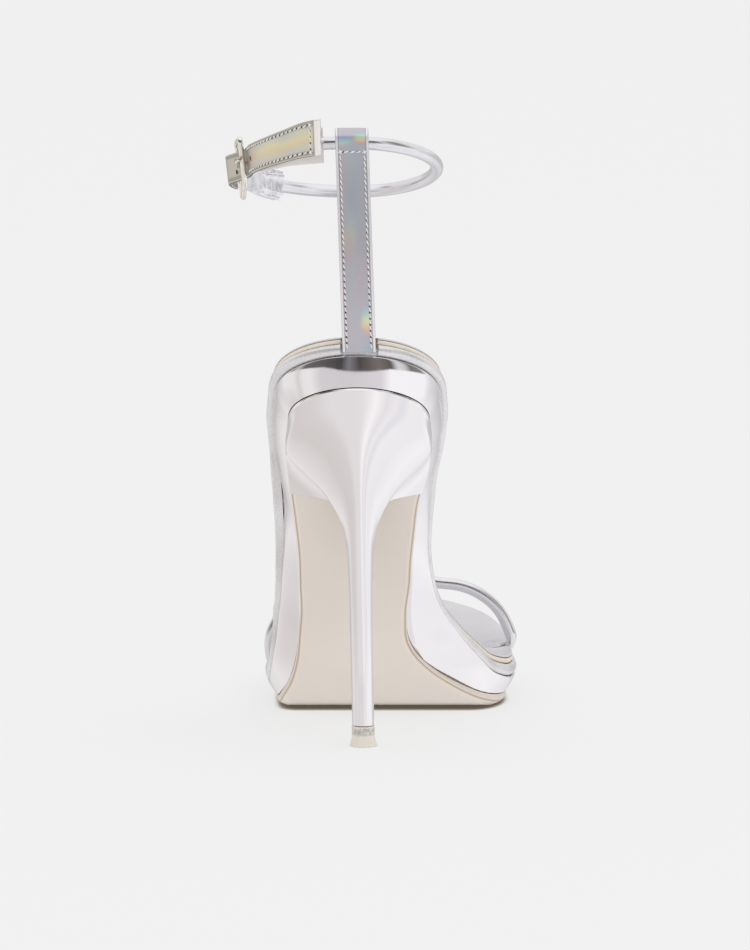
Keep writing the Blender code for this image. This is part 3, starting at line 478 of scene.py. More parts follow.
tabEdgeAndShadeLine = (
    # share from the middle of the tab to its side, colour and cover of the turned edge; the two darkest stops
    # at the very edge are painted shade between the tab and its lining
    (0.62, (0.0, 0.0, 0.0, 0.0)),
    (0.76, (0.31, 0.29, 0.23, 0.74)),
    (0.88, (0.36, 0.34, 0.28, 0.84)),
    (0.93, (0.62, 0.60, 0.53, 0.92)),
    (0.965, (0.56, 0.54, 0.47, 1.0)),
    (0.985, (0.16, 0.14, 0.12, 1.0)),
    (1.00, (0.05, 0.045, 0.04, 1.0)),
)

tabEnd = (
    # share along the tab from its folded end, colour and cover
    (0.000, (0.90, 0.86, 0.84, 1.0)),
    (0.026, (0.94, 0.90, 0.88, 1.0)),
    (0.031, (0.28, 0.26, 0.24, 0.90)),
    (0.038, (0.62, 0.60, 0.52, 0.0)),
)


tabBands = (
    # share across the tab, colour
    (0.04, (0.62, 0.60, 0.54)),
    (0.25, (0.64, 0.62, 0.55)),
    (0.42, (0.74, 0.65, 0.43)),
    (0.58, (0.76, 0.69, 0.45)),
    (0.74, (0.66, 0.66, 0.54)),
    (0.95, (0.58, 0.56, 0.51)),
)

tabLengthAndBuckleShadow = (
    # share along the tab, colour; the dark stop at 0.60 is a painted shadow from the buckle's bar
    (0.00, (0.60, 0.54, 0.44)),
    (0.36, (0.64, 0.58, 0.44)),
    (0.52, (0.66, 0.50, 0.47)),
    (0.60, (0.34, 0.34, 0.30)),
    (0.72, (0.52, 0.50, 0.42)),
    (1.00, (0.56, 0.52, 0.46)),
)


# Yellowish sheet, grey-green at its edges and pink towards the buckle, for the tab, with a painted shadow of
# the buckle's bar and a painted shade line along its edge
def holographicGold():
    material, tree, shader = newMaterial("holographicGold", (0.62, 0.58, 0.46), 0.32, 0.6)
    place = uvParts(tree)
    streak = noiseValue(tree, objectPoint(tree, (90.0, 90.0, 260.0)), 1.5, 3.0)
    fine = noiseValue(tree, objectPoint(tree), foilGrainScale, 2.0)
    wander = rangeValue(tree, streak, *noiseSpan, -0.10, 0.10)
    bands = rampColour(tree, mathValue(tree, "ADD", place["Y"], wander), tabBands)
    # towards the buckle the colour turns pink, then to a painted shadow where the tab passes under the bar
    nearBuckle = rangeValue(tree, place["X"], 0.30, 0.52, 0.0, 0.85)
    colour = mixColour(tree, nearBuckle, bands, rampColour(tree, place["X"], tabLengthAndBuckleShadow))
    # the tab's turned edge, ending in a painted shade line against the lining
    colour = addFoldedEdge(tree, colour, place["Y"], tabEdgeAndShadeLine)
    colour = coverColour(tree, colour, rampColour(tree, place["X"], tabEnd))
    addFinish(tree, shader, colour, ((streak, 0.2), (fine, 0.25)), 0.00004)
    return material


def footbedLeather():
    material, tree, shader = newMaterial("footbedLeather", (0.66, 0.65, 0.67), 0.42, 0.15)
    point = objectPoint(tree)
    broad = noiseValue(tree, point, 45.0, 4.0)
    cells = addNode(tree, "ShaderNodeTexVoronoi", feature="DISTANCE_TO_EDGE", Scale=900.0, Vector=point)
    colour = rampColour(tree, broad, ((0.3, (0.62, 0.605, 0.63)), (0.7, (0.71, 0.695, 0.72))))
    addFinish(tree, shader, colour, ((broad, 0.3), (cells.outputs["Distance"], 0.4)), 0.00008)
    return material


def creamEdge():
    material, tree, shader = newMaterial("creamEdge", (0.82, 0.74, 0.64), 0.62, 0.0)
    fibre = noiseValue(tree, objectPoint(tree, (1.0, 1.0, 5.0)), 500.0, 4.0, 0.65)
    broad = noiseValue(tree, objectPoint(tree), 120.0)
    colour = rampColour(tree, fibre, ((0.3, (0.76, 0.67, 0.56)), (0.7, (0.87, 0.79, 0.69))))
    addFinish(tree, shader, colour, ((fibre, 0.4), (broad, 0.2)), 0.0001)
    return material


soleEdgeReach = 0.004  # from the outsole's rim, where its edge colours end

soleRimShadeAndHighlight = (
    # share of that reach, tint; the tan line is painted shade in the groove at the rim, the brighter band
    # inside it a painted highlight
    (0.000, (0.93, 0.92, 0.90)),
    (0.050, (0.92, 0.90, 0.87)),
    (0.080, (0.54, 0.46, 0.36)),
    (0.130, (0.66, 0.58, 0.48)),
    (0.190, (0.86, 0.81, 0.74)),
    (0.240, (1.05, 1.04, 1.03)),
    (0.360, (1.0, 0.99, 0.97)),
    (1.000, (1.0, 1.0, 1.0)),
)


# Smooth beige sheet with a painted shade line near its edge and a painted highlight band inside it
def beigeSole():
    material, tree, shader = newMaterial("beigeSole", (0.70, 0.63, 0.565), 0.42, 0.0)
    point = objectPoint(tree)
    broad = noiseValue(tree, point, 30.0, 4.0)
    fine = noiseValue(tree, point, 1100.0, 3.0)
    distance = addNode(tree, "ShaderNodeAttribute", attribute_name="rimDistance").outputs["Fac"]
    plain = rampColour(tree, broad, ((0.3, (0.790, 0.715, 0.645)), (0.7, (0.830, 0.755, 0.690))))
    # painted shade line in the groove at the rim, with a painted highlight band inside it
    edge = rampColour(tree, rangeValue(tree, distance, 0.0, soleEdgeReach, 0.0, 1.0), soleRimShadeAndHighlight)
    colour = mixColour(tree, 1.0, plain, edge, "MULTIPLY")
    addFinish(tree, shader, colour, ((broad, 0.15), (fine, 0.15)), 0.00005)
    return material


tipFinish = {
    "cream": (0.80, 0.75, 0.66),
    "height": 0.0064,
    "ragged": 0.0006,  # how far the insert's edge wanders
    "cover": ((0.50, (0.0, 0.0, 0.0)), (0.60, (1.0, 1.0, 1.0)), (0.86, (1.0, 1.0, 1.0)),
              (0.93, (0.2, 0.2, 0.2))),
    "insert": ((0.35, (0.40, 0.39, 0.37)), (0.62, (0.68, 0.65, 0.60))),
}


# Translucent tip: a grey mottled insert shows in its upper half
def creamPlastic():
    look = tipFinish
    material, tree, shader = newMaterial("creamPlastic", look["cream"], 0.28, 0.0)
    point = objectPoint(tree)
    mottle = noiseValue(tree, point, 1300.0, 3.0, 0.7)
    wander = rangeValue(tree, mottle, *noiseSpan, -look["ragged"], look["ragged"])
    height = mathValue(tree, "ADD", splitVector(tree, point)["Z"], wander)
    cover = rampColour(tree, rangeValue(tree, height, 0.0, look["height"], 0.0, 1.0), look["cover"])
    colour = mixColour(tree, cover, look["cream"], rampColour(tree, mottle, look["insert"]))
    shader.inputs["Subsurface Weight"].default_value = 0.35
    shader.inputs["Subsurface Scale"].default_value = 0.002
    shader.inputs["Coat Weight"].default_value = 0.3
    addFinish(tree, shader, colour, ((mottle, 0.1),), 0.00005)
    return material


goldTones = ((0.30, (0.52, 0.45, 0.36)), (0.40, (0.88, 0.83, 0.73)), (0.70, (0.95, 0.92, 0.85)))


def paleGoldMetal():
    material, tree, shader = newMaterial("paleGoldMetal", (0.83, 0.77, 0.66), 0.16, 1.0)
    point = objectPoint(tree)
    fine = noiseValue(tree, point, 2400.0, 2.0)
    colour = rampColour(tree, noiseValue(tree, point, 420.0, 3.0), goldTones)
    rough = rangeValue(tree, fine, *noiseSpan, 0.10, 0.24)
    addFinish(tree, shader, colour, ((fine, 0.1),), 0.00003, rough)
    return material


def threadSilver():
    material, tree, shader = newMaterial("threadSilver", (0.86, 0.85, 0.84), 0.45, 0.2)
    twist = addNode(tree, "ShaderNodeTexWave", bands_direction="DIAGONAL", Scale=1400.0,
                    Vector=objectPoint(tree)).outputs["Fac"]
    colour = rampColour(tree, twist, ((0.2, (0.74, 0.73, 0.72)), (0.8, (0.95, 0.94, 0.93))))
    addFinish(tree, shader, colour, ((twist, 0.5),), 0.00008)
    return material


# Near-black painted shade for the needle holes between stitches and the tab's shallow pinholes, standing in
# for the depth of a hole
def paintedHoleShade():
    material, tree, shader = newMaterial("paintedHoleShade", (0.05, 0.045, 0.05), 0.7, 0.0)
    specks = noiseValue(tree, objectPoint(tree), 3000.0, 2.0)
    colour = rampColour(tree, specks, ((0.3, (0.03, 0.03, 0.03)), (0.7, (0.09, 0.08, 0.08))))
    addFinish(tree, shader, colour)
    return material


materials = {
    "mirror": mirrorSilver(),
    **{key: satinSilver(*row) for key, row in satinFinishes.items()},
    "rainbow": holographicSilver(),
    "gold": holographicGold(),
    "footbed": footbedLeather(),
    "cream": creamEdge(),
    "beige": beigeSole(),
    "tip": creamPlastic(),
    "metal": paleGoldMetal(),
    "thread": threadSilver(),
    "hole": paintedHoleShade(),
}

addCamera()
addStudio()
print("camera, studio and materials made")


# The last

last = {
    "soleLength": 0.2560,
    "seatHeight": 0.1325,
    "seatOverhang": 0.0340,
    "heelToBall": 0.1330,
    "heelRound": 0.0280,
    "toeRound": 0.0400,
    "sideLean": 0.0160,
    "ballAt": 0.714,
    "innerRise": 0.0013,
    "pressedFlat": 0.0003,
    "breastAt": 0.0670,
    "widths": {"seat": 0.0563, "waist": 0.0490, "ball": 0.0824},
}

footbedSlopes = (
    # along, degrees down
    (0.000, 28.0), (0.072, 32.0), (0.144, 39.5), (0.220, 48.0), (0.300, 54.0), (0.380, 56.2),
    (0.468, 56.0), (0.516, 51.0), (0.556, 41.0), (0.596, 27.5), (0.632, 14.0), (0.660, 5.0),
    (0.684, 1.2), (0.744, -1.2), (0.784, -5.5), (0.848, -9.5), (0.920, -11.5), (1.000, -12.0),
)

outlineRows = (
    # along, size, half width, middle
    (0.000, "seat", 0.478, 0.000),
    (0.056, "seat", 0.484, 0.000),
    (0.106, "seat", 0.488, 0.000),
    (0.164, "seat", 0.502, -0.003),
    (0.200, "seat", 0.495, -0.007),
    (0.234, "seat", 0.482, -0.010),
    (0.272, "seat", 0.466, -0.019),
    (0.308, "waist", 0.523, -0.022),
    (0.380, "waist", 0.505, -0.028),
    (0.420, "waist", 0.512, -0.027),
    (0.456, "waist", 0.531, -0.021),
    (0.490, "waist", 0.570, -0.008),
    (0.526, "ball", 0.374, 0.020),
    (0.564, "ball", 0.417, 0.048),
    (0.604, "ball", 0.451, 0.070),
    (0.640, "ball", 0.481, 0.095),
    (0.688, "ball", 0.500, 0.109),
    (0.728, "ball", 0.502, 0.108),
    (0.768, "ball", 0.496, 0.108),
    (0.816, "ball", 0.483, 0.112),
    (0.872, "ball", 0.450, 0.122),
    (0.928, "ball", 0.418, 0.135),
    (0.960, "ball", 0.392, 0.142),
    (1.000, "ball", 0.366, 0.148),
)

layerRows = (
    # along, platform, outsole, undercut outer, undercut inner, shown outer, shown inner
    (0.00, 1.00, 0.48, 0.70, 0.70, 0.80, 0.80),
    (0.12, 0.98, 0.48, 0.80, 0.70, 0.95, 0.90),
    (0.22, 0.94, 0.48, 0.78, 0.68, 1.00, 0.72),
    (0.30, 0.87, 0.49, 0.86, 0.78, 1.70, 0.80),
    (0.36, 0.82, 0.50, 0.94, 0.80, 1.35, 0.45),
    (0.42, 0.79, 0.52, 0.98, 0.92, 1.00, 0.28),
    (0.48, 0.74, 0.58, 1.08, 1.42, 0.90, 0.24),
    (0.54, 0.67, 0.72, 1.04, 2.00, 0.62, 0.24),
    (0.58, 0.60, 0.83, 0.92, 1.80, 0.56, 0.24),
    (0.62, 0.56, 0.90, 0.60, 0.94, 0.45, 0.25),
    (0.66, 0.52, 0.98, 0.47, 0.52, 0.30, 0.25),
    (0.70, 0.51, 1.00, 0.46, 0.46, 0.25, 0.25),
    (0.80, 0.51, 0.98, 0.44, 0.44, 0.25, 0.25),
    (1.00, 0.48, 0.84, 0.41, 0.41, 0.25, 0.25),
)

layers = {
    "names": ("platform", "outsole", "undercutOuter", "undercutInner", "shownOuter", "shownInner"),
    "sizes": (0.0092, 0.0033, 0.0074, 0.0074, 0.0020, 0.0020),
    "cover": 0.0006,
    "cushion": 0.0013,
    "bindingHeight": 0.0034,
    "bindingWidth": 0.0030,
    "bindingBulge": 0.0014,
    "coverInset": 0.0013,
    "edgeRound": 0.0004,
    "roundedShare": 0.05,  # of the platform's wall, from its top
    "wallBulge": 1.35,
}


def smoothStep(low, high, value):
    share = min(1.0, max(0.0, (value - low) / (high - low)))
    return share * share * (3.0 - 2.0 * share)


# A smooth curve through rows whose first column is the place
def smoothRows(rows, place):
    if rows[0][0] > rows[-1][0]:
        rows = rows[::-1]
    keys = [row[0] for row in rows]
    place = min(max(place, keys[0]), keys[-1])
    at = min(max(int(np.searchsorted(keys, place)), 1), len(keys) - 1)
    low, high = rows[at - 1], rows[at]
    before, after = rows[max(at - 2, 0)], rows[min(at + 1, len(rows) - 1)]
    span = high[0] - low[0]
    t = (place - low[0]) / span
    values = []
    for column in range(1, len(low)):
        slopeIn = (high[column] - before[column]) / (high[0] - before[0]) * span
        slopeOut = (after[column] - low[column]) / (after[0] - low[0]) * span
        values.append((2 * t ** 3 - 3 * t ** 2 + 1) * low[column]
                      + (t ** 3 - 2 * t ** 2 + t) * slopeIn
                      + (3 * t ** 2 - 2 * t ** 3) * high[column]
                      + (t ** 3 - t ** 2) * slopeOut)
    return values


# Every value along the sole, looked up by its place in metres
def lastTables():
    length = last["soleLength"]
    steps = 1000
    places = np.linspace(0.0, length, steps + 1)
    shares = places / length
    tables = {"along": places}
    rows = np.array([smoothRows(layerRows, s) for s in shares])
    for column, (name, size) in enumerate(zip(layers["names"], layers["sizes"])):
        tables[name] = rows[:, column] * size
    shape = [(r[0], r[2] * last["widths"][r[1]], r[3] * last["widths"]["ball"]) for r in outlineRows]
    rows = np.array([smoothRows(shape, s) for s in shares])
    tables["half"], tables["middle"] = rows[:, 0], rows[:, 1]
    tables["platformBottom"] = platformTop + tables["platform"]
    tables["outsoleBottom"] = tables["platformBottom"] + gap + tables["outsole"]
    slopes = np.radians([smoothRows(footbedSlopes, s)[0] for s in shares])
    mean = (slopes[1:] + slopes[:-1]) / 2
    forward = np.concatenate([[0.0], np.cumsum(np.cos(mean))]) * length / steps
    height = np.concatenate([[0.0], -np.cumsum(np.sin(mean))]) * length / steps
    ball = int(round(last["ballAt"] * steps))
    ballHeight = tables["outsoleBottom"][ball] - last["pressedFlat"]
    forwardScale = last["heelToBall"] / forward[ball]
    heightScale = (last["seatHeight"] - ballHeight) / -height[ball]
    past = forward - forward[ball]
    drop = height - height[ball]
    tables["forward"] = np.where(past < 0, past * forwardScale, past)
    tables["forward"] += last["heelToBall"] - last["seatOverhang"]
    tables["height"] = np.where(past < 0, drop * heightScale, drop) + ballHeight
    reach = steps // 100
    ahead = np.minimum(np.arange(steps + 1) + reach, steps)
    behind = np.maximum(np.arange(steps + 1) - reach, 0)
    run = tables["forward"][ahead] - tables["forward"][behind]
    fall = tables["height"][behind] - tables["height"][ahead]
    tables["slope"] = np.arctan2(fall, run)
    return tables


cushionTop = layers["cover"] + gap
cushionBottom = cushionTop + layers["cushion"]
bindingTop = cushionBottom + gap
bindingBottom = bindingTop + layers["bindingHeight"]
platformTop = bindingBottom + gap
tables = lastTables()


def lookUp(name, along):
    return float(np.interp(along, tables["along"], tables[name]))


def lean(point):
    return Vector((point[0] - last["sideLean"] * point[2], point[1], point[2]))


# A point on the last: along the footbed, across it and below its top
def onLast(along, across, depth):
    slope = lookUp("slope", along)
    atBall = smoothStep(0.50, 0.64, along / last["soleLength"])
    sideways = max(0.0, across) / (last["widths"]["ball"] / 2)
    upperShare = max(0.0, 1.0 - depth / lookUp("outsoleBottom", along))
    rise = last["innerRise"] * atBall * sideways ** 2 * upperShare
    y = lookUp("forward", along) - depth * math.sin(slope)
    z = lookUp("height", along) - depth * math.cos(slope) + rise
    return lean((across, y, z))


def outlineAt(along, inset):
    half = lookUp("half", along) - inset
    fromHeel = last["heelRound"] - along
    fromToe = along - (last["soleLength"] - last["toeRound"])
    if fromHeel > 0.0:
        half *= math.sqrt(max(0.0, 1.0 - (fromHeel / (last["heelRound"] - inset)) ** 2))
    if fromToe > 0.0:
        half *= math.sqrt(max(0.0, 1.0 - (fromToe / (last["toeRound"] - inset)) ** 2))
    return lookUp("middle", along), half


def undercut(along, side):
    return lookUp("undercutOuter" if side < 0 else "undercutInner", along)


def rollShown(along, side):
    return lookUp("shownOuter" if side < 0 else "shownInner", along)


# Mesh helpers

def newObject(name, points, faces, material, uvs=None, smoothAngle=40.0):
    mesh = bpy.data.meshes.new(name)
    mesh.from_pydata([tuple(p) for p in points], [], faces)
    mesh.update()
    if uvs is not None:
        layer = mesh.uv_layers.new(name="UVMap")
        for loop in mesh.loops:
            layer.data[loop.index].uv = uvs[loop.index]
    mesh.shade_smooth()
    mesh.set_sharp_from_angle(angle=math.radians(smoothAngle))
    mesh.materials.append(material)
    return addObject(name, mesh)


def finishPiece(item, slotName, *nodes):
    fixNormals(item)
    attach(item, "root")
    if nodes:
        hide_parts(*nodes)


# Merges doubles and turns the faces outward
def fixNormals(item):
    bm = bmesh.new()
    bm.from_mesh(item.data)
    bmesh.ops.remove_doubles(bm, verts=bm.verts, dist=0.0000005)
    bmesh.ops.recalc_face_normals(bm, faces=bm.faces)
    bm.to_mesh(item.data)
    bm.free()


# Faces of a grid of points, with the UV of each corner
def gridFaces(rows, columns, wrapRows, wrapColumns, offset=0):
    faces, uvs = [], []
    for row in range(rows if wrapRows else rows - 1):
        for column in range(columns if wrapColumns else columns - 1):
            nextRow, nextColumn = (row + 1) % rows, (column + 1) % columns
            corners = ((row, column), (row, nextColumn), (nextRow, nextColumn), (nextRow, column))
            faces.append([offset + r * columns + c for r, c in corners])
            low, high = column / columns, (column + 1) / columns
            down, up = row / rows, (row + 1) / rows
            uvs += [(low, down), (high, down), (high, up), (low, up)]
    return faces, uvs


# Sole layers

pockets = {
    "strapWidth": 0.0102,
    "heelDepth": 0.0021,
    "heelRamp": 0.0005,
    "heelShift": 0.0009,  # how far the heel strap sits to the inner side of the seat's middle
    "outerDepth": 0.0023,
    "innerDepth": 0.0030,
    "ramp": 0.0012,
    "toeTubeEnd": 0.0026,
    "outerForward": 0.050,  # of the toe strap's ends, shares of the ball's width
    "innerForward": 0.164,
    "leastStep": 0.0007,  # between two rows of points round the sole, as a share
}
ballPlace = last["ballAt"] * last["soleLength"]
toeStrapOuter = ballPlace + pockets["outerForward"] * last["widths"]["ball"]
toeStrapInner = ballPlace + pockets["innerForward"] * last["widths"]["ball"]
pocketHalf = pockets["toeTubeEnd"] / 2 + 2 * gap


def toePocket(along, place, depth):
    return depth * (1.0 - smoothStep(pocketHalf, pocketHalf + pockets["ramp"], abs(along - place)))


def heelPocketEdge(side):
    return pockets["strapWidth"] / 2 + gap + side * pockets["heelShift"]


def bindingPocket(along, side):
    depth = toePocket(along, toeStrapOuter, pockets["outerDepth"]) if side < 0 else 0.0
    if along < last["heelRound"]:
        edge = heelPocketEdge(side)
        across = outlineAt(along, 0.0)[1]
        depth += pockets["heelDepth"] * (1.0 - smoothStep(edge, edge + pockets["heelRamp"], across))
    return depth


def coverPocket(along, side):
    depth = toePocket(along, toeStrapInner, pockets["innerDepth"]) if side > 0 else 0.0
    return depth + bindingPocket(along, side)


def noPocket(along, side):
    return 0.0


def stationShares(count, start):
    shares = [index / count for index in range(count + 1)]
    if start:
        return shares
    heelHalf = outlineRows[0][2] * last["widths"]["seat"]
    extra = []
    for side in (-1.0, 1.0):
        for step in range(9):
            ratio = (heelPocketEdge(side) + pockets["heelRamp"] * (step / 6 - 0.2)) / heelHalf
            extra.append(last["heelRound"] * (1.0 - math.sqrt(1.0 - ratio ** 2)))
    for place in (toeStrapOuter, toeStrapInner):
        extra += [place + step / 12 * (pocketHalf + pockets["ramp"]) for step in range(-12, 13)]
    shares += [math.acos(1.0 - 2.0 * along / last["soleLength"]) / math.pi for along in extra]
    shares.sort()
    kept = [shares[0]]
    for share in shares[1:]:
        if share - kept[-1] > pockets["leastStep"]:
            kept.append(share)
    kept[-1] = 1.0
    return kept


def rimPoint(share, side, inset, depth, pocket, start):
    turn = math.sin(math.pi * share / 2) if start else (1.0 - math.cos(math.pi * share)) / 2
    whole = start + (last["soleLength"] - start) * turn
    insetHere = inset(whole, side) + pocket(whole, side)
    first = start if start else insetHere
    along = first + (last["soleLength"] - insetHere - first) * turn
    middle, half = outlineAt(along, insetHere)
    return along, middle, half, depth(along)


# A layer or ring of the sole. The profile lists insets and depths from top to bottom
def soleShape(name, profile, pocket, material, start=0.0, closed=False, across=10, count=150,
              shape=None, floor=False):
    shares = stationShares(count, start)
    order = [(share, -1.0) for share in shares]
    inner = shares[1:-1] if not start else shares[:-1]
    order += [(share, 1.0) for share in reversed(inner)]
    points, rims = [], []
    for row, (inset, depth) in enumerate(profile):
        for share, side in order:
            along, middle, half, down = rimPoint(share, side, inset, depth, pocket, start)
            bump = shape(along, side, row / (len(profile) - 1)) if shape else (0.0, 0.0)
            points.append(onLast(along, middle + side * (half + bump[0]), down - bump[1]))
            rims.append(max(0.0, inset(along, side) - profile[0][0](along, side)))
    columns = len(order)
    faces, uvs = gridFaces(len(profile), columns, closed, True)
    if not closed:
        for row in (0, len(profile) - 1):
            capFaces, capUvs = capRows(points, rims, row * columns, shares, profile[row], pocket, start,
                                       across, columns, None if row else shape)
            faces += capFaces
            uvs += capUvs
    if floor:
        for point in points:
            point.z = max(point.z, 0.0)
    item = newObject(name, points, faces, material, uvs)
    rimLayer = item.data.attributes.new("rimDistance", "FLOAT", "POINT")
    rimLayer.data.foreach_set("value", rims)
    return item


# Closes a ring with rows that run across the foot, slightly dished where shape says so
def capRows(points, rims, first, shares, edge, pocket, start, across, columns, shape):
    inset, depth = edge
    faces, uvs, rows = [], [], []
    for index, share in enumerate(shares):
        outer = first + index
        if index == len(shares) - 1 or (index == 0 and not start):
            rows.append([outer])
            continue
        near, _, halfOuter, _ = rimPoint(share, -1.0, inset, depth, pocket, start)
        far, _, halfInner, _ = rimPoint(share, 1.0, inset, depth, pocket, start)
        middle = outlineAt(near, 0.0)[0]
        row = [outer]
        for step in range(1, across):
            w = step / across
            place = near + (far - near) * w
            dip = shape(place, 0.0, w)[1] if shape else 0.0
            points.append(onLast(place, middle - halfOuter + (halfOuter + halfInner) * w, depth(place) - dip))
            rims.append(min(w, 1.0 - w) * (halfOuter + halfInner) + rims[outer])
            row.append(len(points) - 1)
        rows.append(row + [first + columns - index - (1 if start else 0)])
    for index, (near, far) in enumerate(zip(rows, rows[1:])):
        if len(near) == 1 or len(far) == 1:
            tip, fan = (near[0], far) if len(near) == 1 else (far[0], near)
            for a, b in zip(fan, fan[1:]):
                faces.append([tip, a, b])
                uvs += [(shares[index], 0.5), (shares[index], 0.0), (shares[index], 1.0)]
            continue
        for step in range(len(near) - 1):
            faces.append([near[step], near[step + 1], far[step + 1], far[step]])
            low, high = step / across, (step + 1) / across
            uvs += [(shares[index], low), (shares[index], high),
                    (shares[index + 1], high), (shares[index + 1], low)]
    return faces, uvs


def steady(value):
    return lambda along, side=0.0: value


def platformInset(down):
    fullness = min(1.0, down / layers["roundedShare"])
    rounding = layers["edgeRound"] * (1.0 - math.sqrt(fullness * (2 - fullness)))

    def inset(along, side):
        shown = rollShown(along, side)
        return shown + rounding + (undercut(along, side) - shown) * down ** layers["wallBulge"]

    return inset


def platformDepth(down):
    return lambda along: platformTop + lookUp("platform", along) * down


def makePlatform():
    steps = [0.0, 0.01, 0.025, 0.05] + [0.05 + 0.95 * index / 26 for index in range(1, 27)]
    profile = [(platformInset(down), platformDepth(down)) for down in steps]
    item = soleShape("platformWrap", profile, noPocket, materials["mirror"])
    finishPiece(item, "mirror_silver", "platform")


def outsoleInset(drawnIn):
    def inset(along, side):
        return undercut(along, side) + gap + lookUp("outsole", along) * drawnIn

    return inset


def outsoleDepth(down):
    return lambda along: lookUp("platformBottom", along) + gap + lookUp("outsole", along) * down


def makeOutsole():
    profile = []
    for step in range(11):
        down = step / 10
        drawnIn = max(0.0, (down - 0.35) / 0.65) ** 2.2
        profile.append((outsoleInset(drawnIn), outsoleDepth(down)))
    item = soleShape("outsoleSheet", profile, noPocket, materials["beige"],
                     last["breastAt"] + gap, across=24, floor=True)
    finishPiece(item, "beige_sole", "outsole")


bindingLook = {
    "creaseDepth": 0.00045,
    "creasesPerMetre": 420.0,
    "seed": 7.0,
    "outerWaist": (0.40, 0.46, 0.56, 0.62),  # shares of the sole: rises between two, falls between two
    "innerBall": (0.48, 0.54, 0.66, 0.72),
    "innerShare": 0.6,
    "fineDepth": 0.00006,
    "finePerMetre": 150.0,
}


def riseAndFall(share, riseFrom, riseTo, fallFrom, fallTo):
    return smoothStep(riseFrom, riseTo, share) * (1.0 - smoothStep(fallFrom, fallTo, share))


# Small creases where the strip was pulled round the waist and the ball
def bindingShape(along, side, row):
    look = bindingLook
    share = along / last["soleLength"]
    outerWaist = riseAndFall(share, *look["outerWaist"]) if side < 0 else 0.0
    innerBall = riseAndFall(share, *look["innerBall"]) if side > 0 else 0.0
    crease = noise.noise(Vector((along * look["creasesPerMetre"], row * 1.5 + side, look["seed"])))
    grain = noise.noise(Vector((along * look["finePerMetre"], row * 3.0, 3.0 + side)))
    amount = look["creaseDepth"] * (outerWaist + look["innerShare"] * innerBall)
    return (-abs(crease) * amount + grain * look["fineDepth"], 0.0)


def makeBinding():
    middle = (bindingTop + bindingBottom) / 2
    half = layers["bindingHeight"] / 2
    profile = []
    turns = 18
    for index in range(turns + 1):
        angle = math.pi * index / turns
        inset = layers["bindingBulge"] * (1.0 - math.sin(angle))
        profile.append((steady(inset), steady(middle - half * math.cos(angle))))
    for down in (1.0, 0.66, 0.33, 0.0):
        level = bindingTop + (bindingBottom - bindingTop) * down
        profile.append((steady(layers["bindingWidth"]), steady(level)))
    item = soleShape("edgeRoll", profile, bindingPocket, materials["satin"], closed=True,
                     count=260, shape=bindingShape)
    finishPiece(item, "satin_silver", "edge_binding")


footbedLook = {
    "dish": 0.0004,
    "wrinkle": 0.00035,
    "wrinkleAt": 0.006,
    "wrinkleWidth": 0.0022,
    "pucker": 0.0007,  # where the toe strap goes in
    "puckerReach": (0.006, 0.10),  # along in metres, across as a share
}


# A slight dish under the foot, a wrinkle beside the heel strap and a pucker at the toe strap
def footbedShape(along, side, w):
    if side != 0.0:
        return (0.0, 0.0)
    look = footbedLook
    dish = look["dish"] * math.sin(math.pi * min(1.0, max(0.0, w)))
    wrinkle = look["wrinkle"] * math.exp(-((along - look["wrinkleAt"]) / look["wrinkleWidth"]) ** 2)
    lengthwise, crosswise = look["puckerReach"]
    away = math.hypot((along - toeStrapInner) / lengthwise, (w - 0.95) / crosswise)
    pucker = look["pucker"] * math.exp(-away ** 2) * math.cos(5.0 * away)
    return (0.0, wrinkle + pucker - dish)


def makeCover():
    rounding = layers["cover"] / 2
    profile = []
    for step in range(5):
        angle = math.pi / 2 * step / 4
        inset = layers["coverInset"] + rounding * (1.0 - math.sin(angle))
        profile.append((steady(inset), steady(rounding * (1.0 - math.cos(angle)))))
    profile.append((steady(layers["coverInset"]), steady(layers["cover"])))
    item = soleShape("footbedCover", profile, coverPocket, materials["footbed"], across=16,
                     shape=footbedShape)
    finishPiece(item, "footbed_silver", "footbed_cover")


def makeCushion():
    profile = []
    for step in range(7):
        share = step / 6
        bulge = 0.0003 * math.sin(math.pi * share)
        depth = cushionTop + (cushionBottom - cushionTop) * share
        profile.append((steady(layers["coverInset"] - bulge), steady(depth)))
    item = soleShape("footbedCushion", profile, coverPocket, materials["cream"])
    finishPiece(item, "cream_edge", "footbed_cushion")


makePlatform()
makeOutsole()
makeBinding()
makeCover()
makeCushion()
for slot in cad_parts["insole_board"].material_slots:
    slot.material = materials["cream"]
print("sole layers made")


# Heel

heel = {
    "shaftWidth": 0.0080,
    "shaftTipWidth": 0.0068,
    "shaftDepth": 0.0084,
    "tipHeight": 0.0064,
    "tipWidth": 0.0083,
    "tipTopWidth": 0.0072,
    "shaftFront": 0.74,
    "tipFront": 0.78,
    "widestAt": 0.45,
    "seatBow": 0.0022,
    "seamBack": 0.30,
    "sidePoints": 40,
}

heelSections = (
    # breast height, back height, forward, backward, front width, side width
    (0.975, 0.955, 0.84, 0.965, 0.420, 0.930),
    (0.935, 0.905, 0.64, 0.890, 0.195, 0.700),
    (0.875, 0.838, 0.44, 0.755, 0.075, 0.385),
    (0.790, 0.752, 0.27, 0.570, 0.025, 0.140),
    (0.690, 0.650, 0.15, 0.385, 0.012, 0.035),
    (0.575, 0.535, 0.07, 0.225, 0.000, 0.005),
    (0.450, 0.410, 0.03, 0.110, 0.000, 0.000),
    (0.290, 0.250, 0.01, 0.035, 0.000, 0.000),
)

tipSections = (
    # height, width
    (1.00, "tipTopWidth"), (0.45, "tipTopWidth"), (0.12, "tipWidth"), (0.00, "tipWidth"),
)


